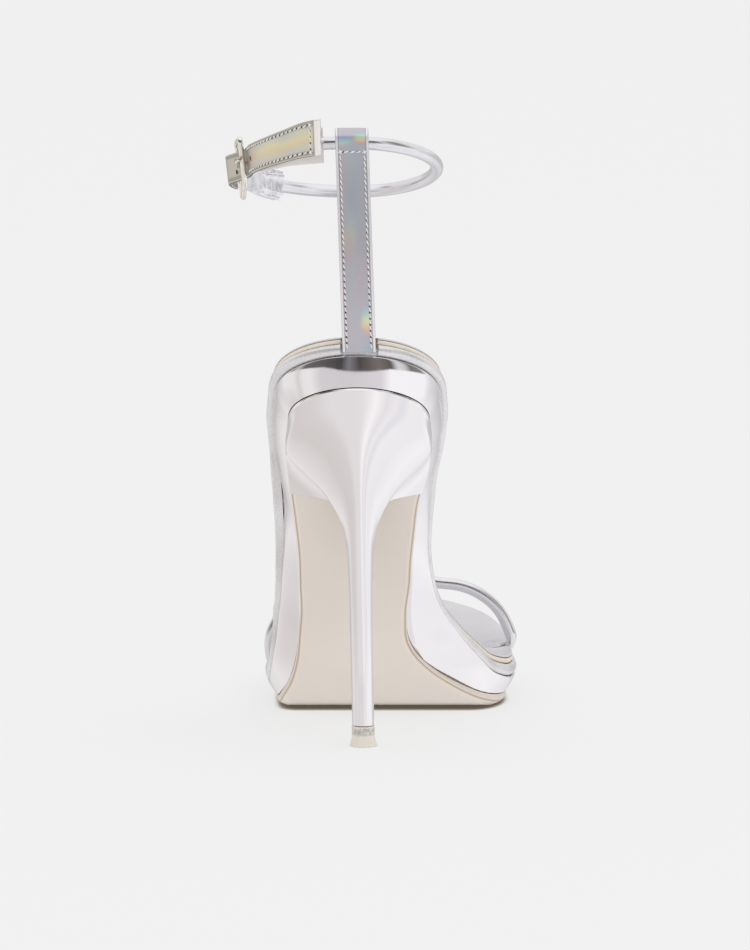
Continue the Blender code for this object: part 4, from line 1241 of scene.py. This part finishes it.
# Both halves of a ring, from its front to its back, joined without the shared points
def closedRing(pointAt):
    halves = [[pointAt(side, math.sin(math.pi / 2 * index / heel["sidePoints"]))
               for index in range(heel["sidePoints"] + 1)] for side in (-1.0, 1.0)]
    return halves[0] + halves[1][-2::-1]


def seatRing(lowered):
    def pointAt(side, share):
        inset = undercut(last["breastAt"] * (1.0 - share), side) + gap / 2
        along = last["breastAt"] + (inset - last["breastAt"]) * share
        middle, half = outlineAt(along, inset)
        depth = lookUp("platformBottom", along) + gap
        depth += lowered * (1.0 - (1.0 - heel["seamBack"]) * share)
        return onLast(along, middle + side * half, depth)

    return closedRing(pointAt)


def sectionRing(front, back, frontWidth, sideWidth, lift=0.0):
    widest = heel["widestAt"]

    def pointAt(side, share):
        width = frontWidth + (sideWidth - frontWidth) * smoothStep(0.0, widest, share)
        if share > widest:
            width *= math.sqrt(max(0.0, 1.0 - ((share - widest) / (1.0 - widest)) ** 2))
        y = front[0] + (back[0] - front[0]) * share
        z = front[1] + (back[1] - front[1]) * share + lift * 4.0 * share * (1.0 - share)
        return lean((side * width, y, z))

    return closedRing(pointAt)


def loftRings(name, rings, material):
    count = len(rings[0])
    points = [point for ring in rings for point in ring]
    faces, uvs = gridFaces(len(rings), count, False, True)
    for base in (0, (len(rings) - 1) * count):
        for index in range(count // 2):
            corners = (index, index + 1, (count - index - 1) % count, (count - index) % count)
            corners = list(dict.fromkeys(base + corner for corner in corners))
            if len(corners) > 2:
                faces.append(corners)
                uvs += [(0.5, 0.5)] * len(corners)
    return newObject(name, points, faces, material, uvs)


# More rings between the given ones, on smooth curves through each column of points
def smoothLoft(rings, steps):
    travel = [0.0]
    for upper, lower in zip(rings, rings[1:]):
        distance = sum((a - b).length for a, b in zip(upper, lower)) / len(upper)
        travel.append(travel[-1] + distance)
    places = []
    for low, high in zip(travel, travel[1:]):
        places += [low + (high - low) * index / steps for index in range(steps)]
    places.append(travel[-1])
    result = [[] for _ in places]
    for column in range(len(rings[0])):
        rows = [(t, *ring[column]) for t, ring in zip(travel, rings)]
        for target, place in zip(result, places):
            target.append(Vector(smoothRows(rows, place)))
    return result


def makeHeel():
    top = seatRing(0.0)
    seat = seatRing(lookUp("outsole", last["breastAt"]))
    half = heel["sidePoints"]
    breast, back = seat[0], seat[half]
    seatMiddle = (seat[0].x + seat[-1].x) / 2
    halfFront = seat[-1].x - seatMiddle
    seatHalf = max(point.x for point in seat) - seatMiddle
    halfDepth = heel["shaftDepth"] / 2
    rings = [seat]
    for row in heelSections:
        frontZ, backZ = breast.z * row[0], back.z * row[1]
        upper = min(1.0, (frontZ + backZ) / 2 / breast.z)
        shaft = (heel["shaftTipWidth"] + (heel["shaftWidth"] - heel["shaftTipWidth"]) * upper) / 2
        deep = halfDepth * shaft / (heel["shaftWidth"] / 2)
        front = (deep + (breast.y - deep) * row[2], frontZ)
        rear = (-deep + (back.y + deep) * row[3], backZ)
        narrow = shaft * heel["shaftFront"]
        frontWidth = narrow + (halfFront - narrow) * row[4]
        sideWidth = shaft + (seatHalf - shaft) * row[5]
        rings.append(sectionRing(front, rear, frontWidth, sideWidth, heel["seatBow"] * row[3] ** 3))
    foot = heel["shaftTipWidth"] / 2
    footDeep = halfDepth * heel["shaftTipWidth"] / heel["shaftWidth"]
    bottom = heel["tipHeight"] + gap
    rings.append(sectionRing((footDeep, bottom), (-footDeep, bottom), foot * heel["shaftFront"], foot))
    item = loftRings("heelWrap", [top] + smoothLoft(rings, 9), materials["mirror"])
    finishPiece(item, "mirror_silver", "heel")


def makeHeelTip():
    rings = []
    for height, name in tipSections:
        half = heel[name] / 2
        z = heel["tipHeight"] * height
        deep = half * heel["shaftDepth"] / heel["shaftWidth"]
        rings.append(sectionRing((deep, z), (-deep, z), half * heel["tipFront"], half))
    item = loftRings("heelTipPlug", smoothLoft(rings, 6), materials["tip"])
    finishPiece(item, "cream_plastic", "heel_tip")


makeHeel()
makeHeelTip()
print("heel made")


# Ankle ring

ring = {
    "middle": (-0.0034, 0.0110),
    "inner": 0.0263,
    "outer": 0.0352,
    "length": 0.0390,
    "backHeight": 0.1907,
    "slope": 0.256,
    "cant": 0.110,
    "tip": 0.064,
}


def ringPlace(angle, outward=0.0, raised=0.0):
    turn = math.radians(angle)
    half = ring["inner"] if math.cos(turn) > 0.0 else ring["outer"]
    x = ring["middle"][0] + half * math.cos(turn)
    y = ring["middle"][1] + ring["length"] * math.sin(turn)
    back = ring["middle"][1] - ring["length"]
    z = ring["backHeight"] - ring["slope"] * (y - back)
    normal = Vector((ring["length"] * math.cos(turn), half * math.sin(turn), 0.0)).normalized()
    upright = normal * ring["cant"] + Vector((0.0, -ring["tip"], 1.0))
    upright.normalize()
    return Vector((x, y, z)) + normal * outward + upright * raised, normal, upright


# Closes a row of points with triangles round one more point
def addFan(faces, uvs, middle, first, count, uv):
    for step in range(count):
        faces.append([middle, first + step, first + (step + 1) % count])
        uvs += [uv] * 3


# A tube along points. seam: angle, width and height of a ridge that runs along it
def tubeMesh(name, points, radii, material, sides=28, closed=False, seam=None, smoothAngle=50.0):
    count = len(points)
    if not hasattr(radii, "__len__"):
        radii = [radii] * count
    tangents = []
    for index in range(count):
        after = points[(index + 1) % count] if closed or index < count - 1 else points[index]
        before = points[index - 1] if closed or index > 0 else points[index]
        tangents.append((after - before).normalized())
    up = Vector((0.0, 0.0, 1.0))
    normal = (up - tangents[0] * up.dot(tangents[0])).normalized()
    grid = []
    for index, (point, tangent) in enumerate(zip(points, tangents)):
        normal = (normal - tangent * normal.dot(tangent)).normalized()
        side = tangent.cross(normal)
        for step in range(sides):
            angle = 2 * math.pi * step / sides
            radius = radii[index]
            if seam:
                away = (angle - seam[0] + math.pi) % (2 * math.pi) - math.pi
                radius *= 1.0 + seam[2] * (math.exp(-((away - seam[1]) / seam[1]) ** 2)
                                           - 1.4 * math.exp(-(away / (seam[1] * 0.5)) ** 2))
            grid.append(point + (normal * math.cos(angle) + side * math.sin(angle)) * radius)
    faces, uvs = gridFaces(count, sides, closed, True)
    if not closed:
        for end, direction in ((0, -1.0), (count - 1, 1.0)):
            grid.append(points[end] + tangents[end] * direction * radii[end] * 0.35)
            addFan(faces, uvs, len(grid) - 1, end * sides, sides, (0.5, 0.0))
    return newObject(name, grid, faces, material, uvs, smoothAngle)


ankleTube = {
    "diameter": 0.0040,
    "start": 247.0,
    "end": 491.2,
    "intoChape": 3.0,  # degrees that the tube goes on inside the gathered end
    "points": 170,
    "seam": (math.radians(250.0), 0.16, 0.06),
}


def makeAnkleTube():
    start, end = ankleTube["start"], ankleTube["end"] + ankleTube["intoChape"]
    steps = ankleTube["points"]
    points = [ringPlace(start + (end - start) * (index / steps))[0] for index in range(steps + 1)]
    item = tubeMesh("ankleTubeRoll", points, ankleTube["diameter"] / 2, materials["tube"], 36,
                    seam=ankleTube["seam"])
    finishPiece(item, "satin_silver", "ankle_tube")


toeStrap = {
    "diameter": 0.0038,
    "endDiameter": 0.0026,
    "between": 9,
    "smoothing": 24,  # rounds that take the corners out of the line
    "seam": (math.radians(180.0), 0.16, 0.05),
}

toeStrapLine = (
    # across, forward, above the footbed, shares of the ball's width
    (-0.372, 0.050, -0.030),
    (-0.381, 0.050, 0.015),
    (-0.371, 0.054, 0.084),
    (-0.328, 0.060, 0.158),
    (-0.262, 0.068, 0.226),
    (-0.155, 0.080, 0.277),
    (-0.025, 0.094, 0.304),
    (0.100, 0.110, 0.309),
    (0.212, 0.124, 0.296),
    (0.295, 0.136, 0.274),
    (0.375, 0.146, 0.268),
    (0.450, 0.154, 0.242),
    (0.515, 0.160, 0.198),
    (0.560, 0.164, 0.145),
    (0.588, 0.166, 0.078),
    (0.597, 0.166, 0.050),
    (0.594, 0.165, 0.023),
    (0.589, 0.164, 0.011),
)


# Takes the corners out of a line of points and keeps its ends
def smoothLine(line, rounds):
    for _ in range(rounds):
        between = [(a + 2 * b + c) / 4 for a, b, c in zip(line, line[1:], line[2:])]
        line = line[:1] + between + line[-1:]
    return line


def makeToeStrap():
    ballY = last["heelToBall"] - last["seatOverhang"]
    ballZ = lookUp("outsoleBottom", ballPlace) - last["pressedFlat"]
    width = last["widths"]["ball"]
    rows = [(index, *(share * width for share in row)) for index, row in enumerate(toeStrapLine)]
    points, radii = [], []
    steps = (len(rows) - 1) * toeStrap["between"]
    for index in range(steps + 1):
        across, ahead, above = smoothRows(rows, index / toeStrap["between"])
        points.append(lean((across, ballY + ahead, ballZ + above)))
        fullness = smoothStep(0.6, 2.6, min(index, steps - index) / toeStrap["between"])
        size = toeStrap["endDiameter"] + (toeStrap["diameter"] - toeStrap["endDiameter"]) * fullness
        radii.append(size / 2)
    points = smoothLine(points, toeStrap["smoothing"])
    item = tubeMesh("toeStrapRoll", points, radii, materials["tube"], 36, seam=toeStrap["seam"])
    finishPiece(item, "satin_silver", "toe_strap")


# Flat straps

strapEdge = {
    "corner": 0.8,  # how far the turned edge's round reaches in, share of half the thickness
    "turns": 8,
    "between": 16,
    "dent": 0.00010,  # under the stitches
    "dentAt": 0.0014,
    "dentWidth": 0.0004,
}


# Points of a strap's section: across and through it, with rounded folded edges
def strapSection(width, thickness, dent):
    look = strapEdge
    half, edge = width / 2, thickness / 2
    corner = edge * look["corner"]
    inner = half - corner
    section = []
    for side in (1.0, -1.0):
        for step in range(look["turns"] + 1):
            angle = -side * math.pi / 2 + math.pi * step / look["turns"]
            section.append((side * inner + corner * math.cos(angle), edge * math.sin(angle)))
        for step in range(1, look["between"]):
            across = inner - 2 * inner * step / look["between"]
            press = dent * math.exp(-((half - abs(across) - look["dentAt"]) / look["dentWidth"]) ** 2)
            section.append((side * across, edge - press if side > 0.0 else -edge))
    return section


# stations: centre, across direction, outward direction and width factor, one per row
def sweepStrap(name, stations, section, material, foldLength=0.0, foldHeight=0.0):
    travel = [0.0]
    for near, far in zip(stations, stations[1:]):
        travel.append(travel[-1] + (far[0] - near[0]).length)
    points = []
    for (centre, across, outward, factor), place in zip(stations, travel):
        raised = 0.0
        if foldLength:
            raised = foldHeight * (1.0 - smoothStep(foldLength * 0.8, foldLength, place))
        if foldLength and place < foldLength * 0.25:
            raised -= foldHeight * (1.0 - place / (foldLength * 0.25)) ** 2
        for v, n in section:
            lift = raised if n > 0.0 else 0.0
            points.append(centre + across * v * factor + outward * (n + lift))
    rows, columns = len(stations), len(section)
    faces, uvs = gridFaces(rows, columns, False, True)[0], []
    widest = max(abs(v) for v, _ in section)
    lengthwise = [place / travel[-1] for place in travel]
    crosswise = [v / widest / 2 + 0.5 for v, _ in section]
    for u0, u1 in zip(lengthwise, lengthwise[1:]):
        for v0, v1 in zip(crosswise, crosswise[1:] + crosswise[:1]):
            uvs += [(u0, v0), (u0, v1), (u1, v1), (u1, v0)]
    for row in (0, rows - 1):
        points.append(stations[row][0])
        addFan(faces, uvs, len(points) - 1, row * columns, columns, (float(row > 0), 0.5))
    return newObject(name, points, faces, material, uvs, 55.0)


heelStrap = {
    "width": 0.0102,
    "ply": 0.0012,
    "loopSlack": 0.0011,
    "lean": 0.0350,
    "x": -0.0012,
    "pocket": 0.0021,
    "plyGap": 0.00008,
    "stitchInset": 0.0014,
}

heelStrapLine = (
    # height, bowed backward
    (0.00, 0.000), (0.20, 0.026), (0.42, 0.030), (0.64, 0.018), (0.82, 0.006), (0.90, 0.002),
)


# Middle line of the single ply: up the outside, round the tube, down the inside
def heelStrapPath():
    ringBack = ringPlace(270.0)[0]
    ply = heelStrap["ply"]
    bottom = onLast(0.0, 0.0, platformTop).z + gap
    pocket = onLast(heelStrap["pocket"], 0.0, (bindingTop + bindingBottom) / 2)
    footY = pocket.y - gap - ply
    hole = ankleTube["diameter"] / 2 + gap
    loopMiddle = hole + ply / 2
    bendRadius = ring["inner"] ** 2 / ring["length"]
    bend = (heelStrap["width"] / 2) ** 2 / (2 * bendRadius)
    height = ringBack.z - bottom
    topY = ringBack.y - (hole + ply) + ply
    offset = ply / 2 + heelStrap["plyGap"] / 2
    outer, inner = [], []
    for step in range(61):
        share = 0.90 * step / 60
        bow = smoothRows(heelStrapLine, share)[0]
        y = footY + (topY - footY) * share - height * bow
        outer.append((y - offset, bottom + height * share))
        inner.append((y + offset, bottom + height * share))
    around = []
    for step in range(31):
        angle = math.pi - math.pi * step / 30
        forward = bend if angle < math.pi / 2 else bend * smoothStep(math.pi, math.pi / 2, angle)
        y = ringBack.y + forward + loopMiddle * math.cos(angle)
        around.append((y, ringBack.z + heelStrap["loopSlack"] + loopMiddle * math.sin(angle)))
    joinedOut = joinLine(outer[-1], around[0], (0.25, 0.5, 0.75))
    joinedIn = joinLine(around[-1], inner[-1], (0.2, 0.4, 0.6, 0.8))
    return outer + joinedOut + around + joinedIn + inner[::-1], bottom, len(outer)


def joinLine(near, far, shares):
    return [tuple(a * (1 - t) + b * t for a, b in zip(near, far)) for t in shares]


def heelStrapStations():
    line, bottom, outerCount = heelStrapPath()
    line = smoothLine([np.array(point) for point in line], 2)
    stations = []
    for index, (y, z) in enumerate(line):
        before, after = line[max(index - 1, 0)], line[min(index + 1, len(line) - 1)]
        tangent = Vector((0.0, after[0] - before[0], after[1] - before[1])).normalized()
        outward = Vector((0.0, -tangent.z, tangent.y))
        x = heelStrap["x"] - heelStrap["lean"] * (z - bottom)
        across = Vector((1.0, 0.0, 0.0))
        stations.append((Vector((x, y, z)), across, outward, 1.0))
    return stations, outerCount


def makeHeelStrap():
    stations, outerCount = heelStrapStations()
    section = strapSection(heelStrap["width"], heelStrap["ply"], strapEdge["dent"])
    item = sweepStrap("heelStrapSheet", stations, section, materials["rainbow"])
    finishPiece(item, "holographic_silver", "heel_strap")
    return stations, outerCount


tabRows = (
    # angle, outward, raised, width
    (255.8, 0.0030, 0.0023, 0.0114),
    (246.0, 0.0028, 0.0015, 0.0109),
    (236.0, 0.0018, 0.0004, 0.0101),
    (223.0, 0.0008, -0.0004, 0.0095),
    (210.0, -0.0003, -0.0006, 0.0093),
    (202.0, -0.0013, -0.0003, 0.0092),
    (196.0, -0.0017, -0.0003, 0.0092),
    (190.0, -0.0011, -0.0003, 0.0091),
    (184.0, 0.0009, -0.0003, 0.0090),
    (178.0, 0.0032, -0.0003, 0.0090),
    (173.0, 0.0039, -0.0002, 0.0089),
    (167.0, 0.0042, -0.0001, 0.0088),
    (160.0, 0.0041, 0.0000, 0.0087),
)

backingRows = (
    # angle, outward, raised, width
    (253.6, -0.0030, -0.0006, 0.0112),
    (246.0, -0.0029, -0.0006, 0.0110),
    (236.0, -0.0014, -0.0006, 0.0106),
    (223.0, -0.0012, -0.0008, 0.0102),
    (211.0, -0.0020, -0.0007, 0.0096),
)

tab = {
    "ply": 0.0012,
    "steps": 120,
    "backingSteps": 50,
    "stitchedSteps": 72,  # the long rows of stitches end there
    "foldLength": 0.0019,
    "foldHeight": 0.0004,
    "stitchInset": 0.0014,
    "endStitches": 0.0030,  # from the folded end to the row that runs across
}


def ringStations(rows, steps):
    stations = []
    first, final = rows[0][0], rows[-1][0]
    widest = max(row[3] for row in rows)
    for index in range(steps + 1):
        angle = first + (final - first) * index / steps
        outward, raised, width = smoothRows(rows, angle)
        centre, normal, upright = ringPlace(angle, outward, raised)
        stations.append((centre, upright, normal, width / widest))
    return stations, widest


def makeTab():
    stations, widest = ringStations(tabRows, tab["steps"])
    section = strapSection(widest, tab["ply"], strapEdge["dent"])
    item = sweepStrap("anklePinholeTab", stations, section, materials["gold"],
                      tab["foldLength"], tab["foldHeight"])
    finishPiece(item, "holographic_silver", "strap_tab")
    return stations, widest


pinhole = {
    "places": ((205.5, 0.0), (184.5, 0.0017), (184.5, -0.0017)),  # angle, raised from the middle
    "size": 0.0012,
    "sides": 20,
    "profile": ((0.02, -0.00005), (0.55, -0.00005), (0.75, 0.00006), (1.0, 0.00012), (1.25, 0.0)),
}


# Shallow dishes in the near-black hole material: painted shade for the pinholes' depth
def makePinholes():
    sides, profile = pinhole["sides"], pinhole["profile"]
    points, faces = [], []
    for angle, raised in pinhole["places"]:
        outward, lift, _ = smoothRows(tabRows, angle)
        centre, normal, upright = ringPlace(angle, outward + tab["ply"] / 2, lift + raised)
        along = normal.cross(upright)
        first = len(points)
        for size, height in profile:
            for step in range(sides):
                turn = 2 * math.pi * step / sides
                radius = pinhole["size"] / 2 * size
                points.append(centre + (along * math.cos(turn) + upright * math.sin(turn)) * radius
                              + normal * height)
        faces += gridFaces(len(profile), sides, False, True, first)[0]
        faces.append([first + step for step in range(sides)])
        faces.append([first + (len(profile) - 1) * sides + step for step in reversed(range(sides))])
    item = newObject("tabPinholes", points, faces, materials["hole"])
    finishPiece(item, "holographic_silver")


def makeBacking():
    stations, widest = ringStations(backingRows, tab["backingSteps"])
    section = strapSection(widest, tab["ply"], 0.0)
    item = sweepStrap("tabLining", stations, section, materials["lining"])
    finishPiece(item, "satin_silver", "tab_backing")


# Buckle

buckle = {
    "bar": 0.0017,
    "rearHeight": 0.0158,
    "frontHeight": 0.0194,
    "rearAngle": 196.0,
    "frontAngle": 173.0,
    "offset": 0.0003,
    "corner": 0.0018,
    "prong": 0.0013,
    "eyeFrom": 60.0,  # degrees round the bar where the prong's eye begins, and how far it goes
    "eyeTurn": 290.0,
    "pastBar": 4.0,  # degrees of the ring that the prong reaches past the rear bar
}


def barEnds(angle, height):
    reach = (height - buckle["bar"]) / 2
    return [ringPlace(angle, buckle["offset"], raised)[0] for raised in (reach, -reach)]


def makeBuckle():
    rearTop, rearBottom = barEnds(buckle["rearAngle"], buckle["rearHeight"])
    frontTop, frontBottom = barEnds(buckle["frontAngle"], buckle["frontHeight"])
    corners = (rearTop, frontTop, frontBottom, rearBottom)
    points = []
    for index, corner in enumerate(corners):
        before = (corners[index - 1] - corner).normalized()
        after = (corners[(index + 1) % 4] - corner).normalized()
        start, end = corner + before * buckle["corner"], corner + after * buckle["corner"]
        for step in range(9):
            share = step / 8
            points.append(start.lerp(corner, share).lerp(corner.lerp(end, share), share))
        following = corners[(index + 1) % 4] - after * buckle["corner"]
        for step in range(1, 8):
            points.append(end.lerp(following, step / 8))
    item = tubeMesh("buckleWire", points, buckle["bar"] / 2, materials["metal"], 20, closed=True)
    finishPiece(item, "pale_gold_metal", "buckle_frame")


def makeProng():
    bar, normal, upright = ringPlace(buckle["frontAngle"], buckle["offset"])
    backward = normal.cross(upright).normalized()
    backward = -backward if backward.y > 0.0 else backward
    eye = buckle["bar"] / 2 + gap + buckle["prong"] / 2
    points = []
    for index in range(25):
        angle = math.radians(buckle["eyeFrom"] + buckle["eyeTurn"] * index / 24)
        points.append(bar + backward * eye * math.cos(angle) + normal * eye * math.sin(angle))
    rest = buckle["offset"] + eye
    aboveBar = ringPlace(buckle["rearAngle"], rest)[0]
    start = points[-1]
    for share in (0.15, 0.3, 0.5, 0.7, 0.85, 1.0):
        points.append(start.lerp(aboveBar, share))
    points.append(ringPlace(buckle["rearAngle"] + buckle["pastBar"], rest)[0])
    radii = [buckle["prong"] / 2] * len(points)
    radii[-2] *= 0.95
    radii[-1] *= 0.7
    item = tubeMesh("bucklePin", points, radii, materials["metal"], 16)
    finishPiece(item, "pale_gold_metal", "buckle_prong")


chape = {
    "ply": 0.0008,
    "height": 0.0090,
    "endHeight": 0.0098,
    "endThickness": 0.0058,
    "endAngle": 132.5,
    "fromBar": 5.0,
    "slant": 0.25,
    "pleats": 9,
    "pleatDepth": 0.0006,
    "crumple": 0.00045,
    "steps": 70,
    "sides": 84,
    "wander": 3.0,  # how far the pleats stray
}


# The gathered end: flat round the bar, swollen and pleated where it holds the tube
def makeChape():
    first = buckle["frontAngle"] - chape["fromBar"]
    bar = ringPlace(buckle["frontAngle"], buckle["offset"])[0]
    reach = ringPlace(chape["endAngle"])[0].xy - bar.xy
    steps, sides = chape["steps"], chape["sides"]
    points = []
    for index in range(steps + 1):
        share = index / steps
        angle = first + (chape["endAngle"] - first) * share
        swell = smoothStep(0.35, 1.0, share)
        thick = chape["ply"] + (chape["endThickness"] / 2 - chape["ply"]) * swell
        tall = (chape["height"] + (chape["endHeight"] - chape["height"]) * share) / 2
        centre, normal, upright = ringPlace(angle, buckle["offset"] * (1.0 - share))
        for step in range(sides):
            turn = 2 * math.pi * step / sides
            power = 0.55 - 0.1 * swell
            n = math.copysign(abs(math.cos(turn)) ** power, math.cos(turn)) * thick
            u = math.copysign(abs(math.sin(turn)) ** power, math.sin(turn)) * tall
            stray = chape["wander"] * noise.noise(Vector((share * 3.0, turn, 2.0)))
            pleat = math.cos(chape["pleats"] * turn + stray)
            dent = chape["pleatDepth"] * swell * (0.5 - 0.5 * pleat)
            where = Vector((share * 14.0, math.cos(turn) * 2.2, math.sin(turn) * 3.4))
            crumple = chape["crumple"] * smoothStep(0.1, 0.5, share) * abs(noise.noise(where))
            inward = Vector((n / max(thick, 0.0001), u / max(tall, 0.0001))).normalized()
            n -= inward.x * (dent + crumple)
            u -= inward.y * (dent + crumple)
            slant = reach.normalized() * chape["slant"] * share * u
            points.append(centre + normal * n + upright * u + Vector((slant.x, slant.y, 0.0)))
    faces, uvs = gridFaces(steps + 1, sides, False, True)
    for end in (0, steps):
        row = points[end * sides:(end + 1) * sides]
        centre = sum(row, Vector()) / sides
        if end:
            centre -= (ringPlace(chape["endAngle"])[0] - ringPlace(chape["endAngle"] + 4.0)[0]) * 0.2
        points.append(centre)
        addFan(faces, uvs, len(points) - 1, end * sides, sides, (0.5, 0.0))
    item = newObject("gatheredChape", points, faces, materials["chape"], uvs, 60.0)
    finishPiece(item, "satin_silver", "chape")


makeAnkleTube()
makeToeStrap()
strapStations, strapOuterCount = makeHeelStrap()
tabStations, tabWidest = makeTab()
makePinholes()
makeBacking()
makeBuckle()
makeProng()
makeChape()
print("straps and buckle made")


# Stitches, by Geometry Nodes

stitch = {
    "pitch": 0.00185,
    "length": 0.00172,
    "width": 0.00050,
    "slant": 17.0,  # degrees from the line
    "holeSize": 0.00062,
    "holeHeight": 0.00030,
    "seeds": (4, 5),
}


# Thread stitches, or the needle holes between them, along the edges of the input mesh
def stitchTree(name, material):
    tree = bpy.data.node_groups.new(name, "GeometryNodeTree")
    tree.interface.new_socket("Geometry", in_out="INPUT", socket_type="NodeSocketGeometry")
    for socketName in ("Pitch", "Length", "Width", "Height", "Slant"):
        tree.interface.new_socket(socketName, in_out="INPUT", socket_type="NodeSocketFloat")
    tree.interface.new_socket("Seed", in_out="INPUT", socket_type="NodeSocketInt")
    tree.interface.new_socket("Geometry", in_out="OUTPUT", socket_type="NodeSocketGeometry")
    source = addNode(tree, "NodeGroupInput").outputs
    toCurve = addNode(tree, "GeometryNodeMeshToCurve", Mesh=source["Geometry"])
    resample = addNode(tree, "GeometryNodeResampleCurve", mode="LENGTH",
                       Curve=toCurve.outputs["Curve"], Length=source["Pitch"])
    tangent = addNode(tree, "GeometryNodeInputTangent").outputs["Tangent"]
    facing = addNode(tree, "GeometryNodeInputNamedAttribute", data_type="FLOAT_VECTOR", Name="facing")
    alongLine = addNode(tree, "FunctionNodeAlignRotationToVector", axis="X", Vector=tangent)
    awayFromStrap = addNode(tree, "FunctionNodeAlignRotationToVector", axis="Z", pivot_axis="X",
                            Rotation=alongLine.outputs["Rotation"], Vector=facing.outputs["Attribute"])
    grain = addNode(tree, "GeometryNodeMeshIcoSphere", Radius=0.5, Subdivisions=2)
    size = addNode(tree, "ShaderNodeCombineXYZ", X=source["Length"], Y=source["Width"],
                   Z=source["Height"])
    shaped = addNode(tree, "GeometryNodeTransform", Geometry=grain.outputs["Mesh"],
                     Scale=size.outputs["Vector"])
    slant = addNode(tree, "ShaderNodeCombineXYZ", Z=source["Slant"])
    turned = addNode(tree, "GeometryNodeTransform", Geometry=shaped.outputs["Geometry"],
                     Rotation=slant.outputs["Vector"])
    wobble = addNode(tree, "FunctionNodeRandomValue", data_type="FLOAT", Seed=source["Seed"])
    wobble.inputs[2].default_value = 0.9
    wobble.inputs[3].default_value = 1.1
    onPoints = addNode(tree, "GeometryNodeInstanceOnPoints", Points=resample.outputs["Curve"],
                       Instance=turned.outputs["Geometry"], Rotation=awayFromStrap.outputs["Rotation"],
                       Scale=wobble.outputs[1])
    realize = addNode(tree, "GeometryNodeRealizeInstances", Geometry=onPoints.outputs["Instances"])
    paint = addNode(tree, "GeometryNodeSetMaterial", Geometry=realize.outputs["Geometry"],
                    Material=material)
    addNode(tree, "NodeGroupOutput", Geometry=paint.outputs["Geometry"])
    return tree


# lines: lists of (point, facing). The row is baked to a plain mesh
def stitchRow(name, lines, tree, values):
    points, edges, facings = [], [], []
    for line in lines:
        for index, (point, facing) in enumerate(line):
            if index:
                edges.append((len(points) - 1, len(points)))
            points.append(point)
            facings.append(facing)
    mesh = bpy.data.meshes.new(name)
    mesh.from_pydata([tuple(p) for p in points], edges, [])
    layer = mesh.attributes.new("facing", "FLOAT_VECTOR", "POINT")
    layer.data.foreach_set("vector", [value for facing in facings for value in facing])
    guide = addObject(name + "Guide", mesh)
    modifier = guide.modifiers.new("rows", "NODES")
    modifier.node_group = tree
    for item in tree.interface.items_tree:
        if item.item_type == "SOCKET" and item.in_out == "INPUT" and item.name in values:
            modifier[item.identifier] = values[item.name]
    bpy.context.view_layer.update()
    evaluated = guide.evaluated_get(bpy.context.evaluated_depsgraph_get())
    baked = bpy.data.meshes.new_from_object(evaluated)
    baked.name = name
    baked.shade_smooth()
    bpy.data.objects.remove(guide, do_unlink=True)
    item = addObject(name, baked)
    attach(item, "root")


# A line beside a strap's middle, lifted off its face
def lineAlong(stations, aside, lift):
    return [(centre + across * aside * factor + outward * lift, outward)
            for centre, across, outward, factor in stations]


# A line from side to side of a strap
def lineAcross(station, half, lift):
    centre, across, outward, factor = station
    return [(centre + across * (half * factor * (2 * step / 10 - 1)) + outward * lift, outward)
            for step in range(11)]


# The same line starting further on, so that holes fall between the stitches
def shifted(line, distance):
    total = 0.0
    for index in range(len(line) - 1):
        step = (line[index + 1][0] - line[index][0]).length
        if total + step >= distance:
            share = (distance - total) / step
            start = line[index][0].lerp(line[index + 1][0], share)
            return [(start, line[index][1])] + line[index + 1:]
        total += step
    return line


def addStitches():
    threadTree = stitchTree("stitchRows", materials["thread"])
    holeTree = stitchTree("needleHoleRows", materials["hole"])
    half = heelStrap["width"] / 2 - heelStrap["stitchInset"]
    lift = heelStrap["ply"] / 2
    outerRun = strapStations[2:strapOuterCount + 2]
    innerRun = strapStations[-2:-strapOuterCount - 1:-1]
    rowsOnStrap = [lineAlong(outerRun, -half, lift), lineAlong(outerRun, half, lift),
                   lineAcross(outerRun[-1], half, lift),
                   lineAlong(innerRun, -half, lift), lineAlong(innerRun, half, lift)]
    half = tabWidest / 2 - tab["stitchInset"]
    lift = tab["ply"] / 2
    first = next(index for index, row in enumerate(tabStations)
                 if (row[0] - tabStations[0][0]).length > tab["endStitches"])
    tabRun = tabStations[first:tab["stitchedSteps"]]
    rowsOnTab = [lineAlong(tabRun, -half, lift), lineAlong(tabRun, half, lift),
                 lineAcross(tabRun[0], half, lift)]
    threadSeed, holeSeed = stitch["seeds"]
    thread = {"Pitch": stitch["pitch"], "Length": stitch["length"], "Width": stitch["width"],
              "Height": stitch["width"], "Slant": math.radians(stitch["slant"]), "Seed": threadSeed}
    holes = {"Pitch": stitch["pitch"], "Length": stitch["holeSize"], "Width": stitch["holeSize"],
             "Height": stitch["holeHeight"], "Slant": 0.0, "Seed": holeSeed}
    for label, rows in (("heelStrap", rowsOnStrap), ("tab", rowsOnTab)):
        stitchRow(label + "Stitches", rows, threadTree, thread)
        moved = [shifted(row, stitch["pitch"] / 2) for row in rows]
        stitchRow(label + "NeedleHoles", moved, holeTree, holes)


addStitches()
print("stitches made")
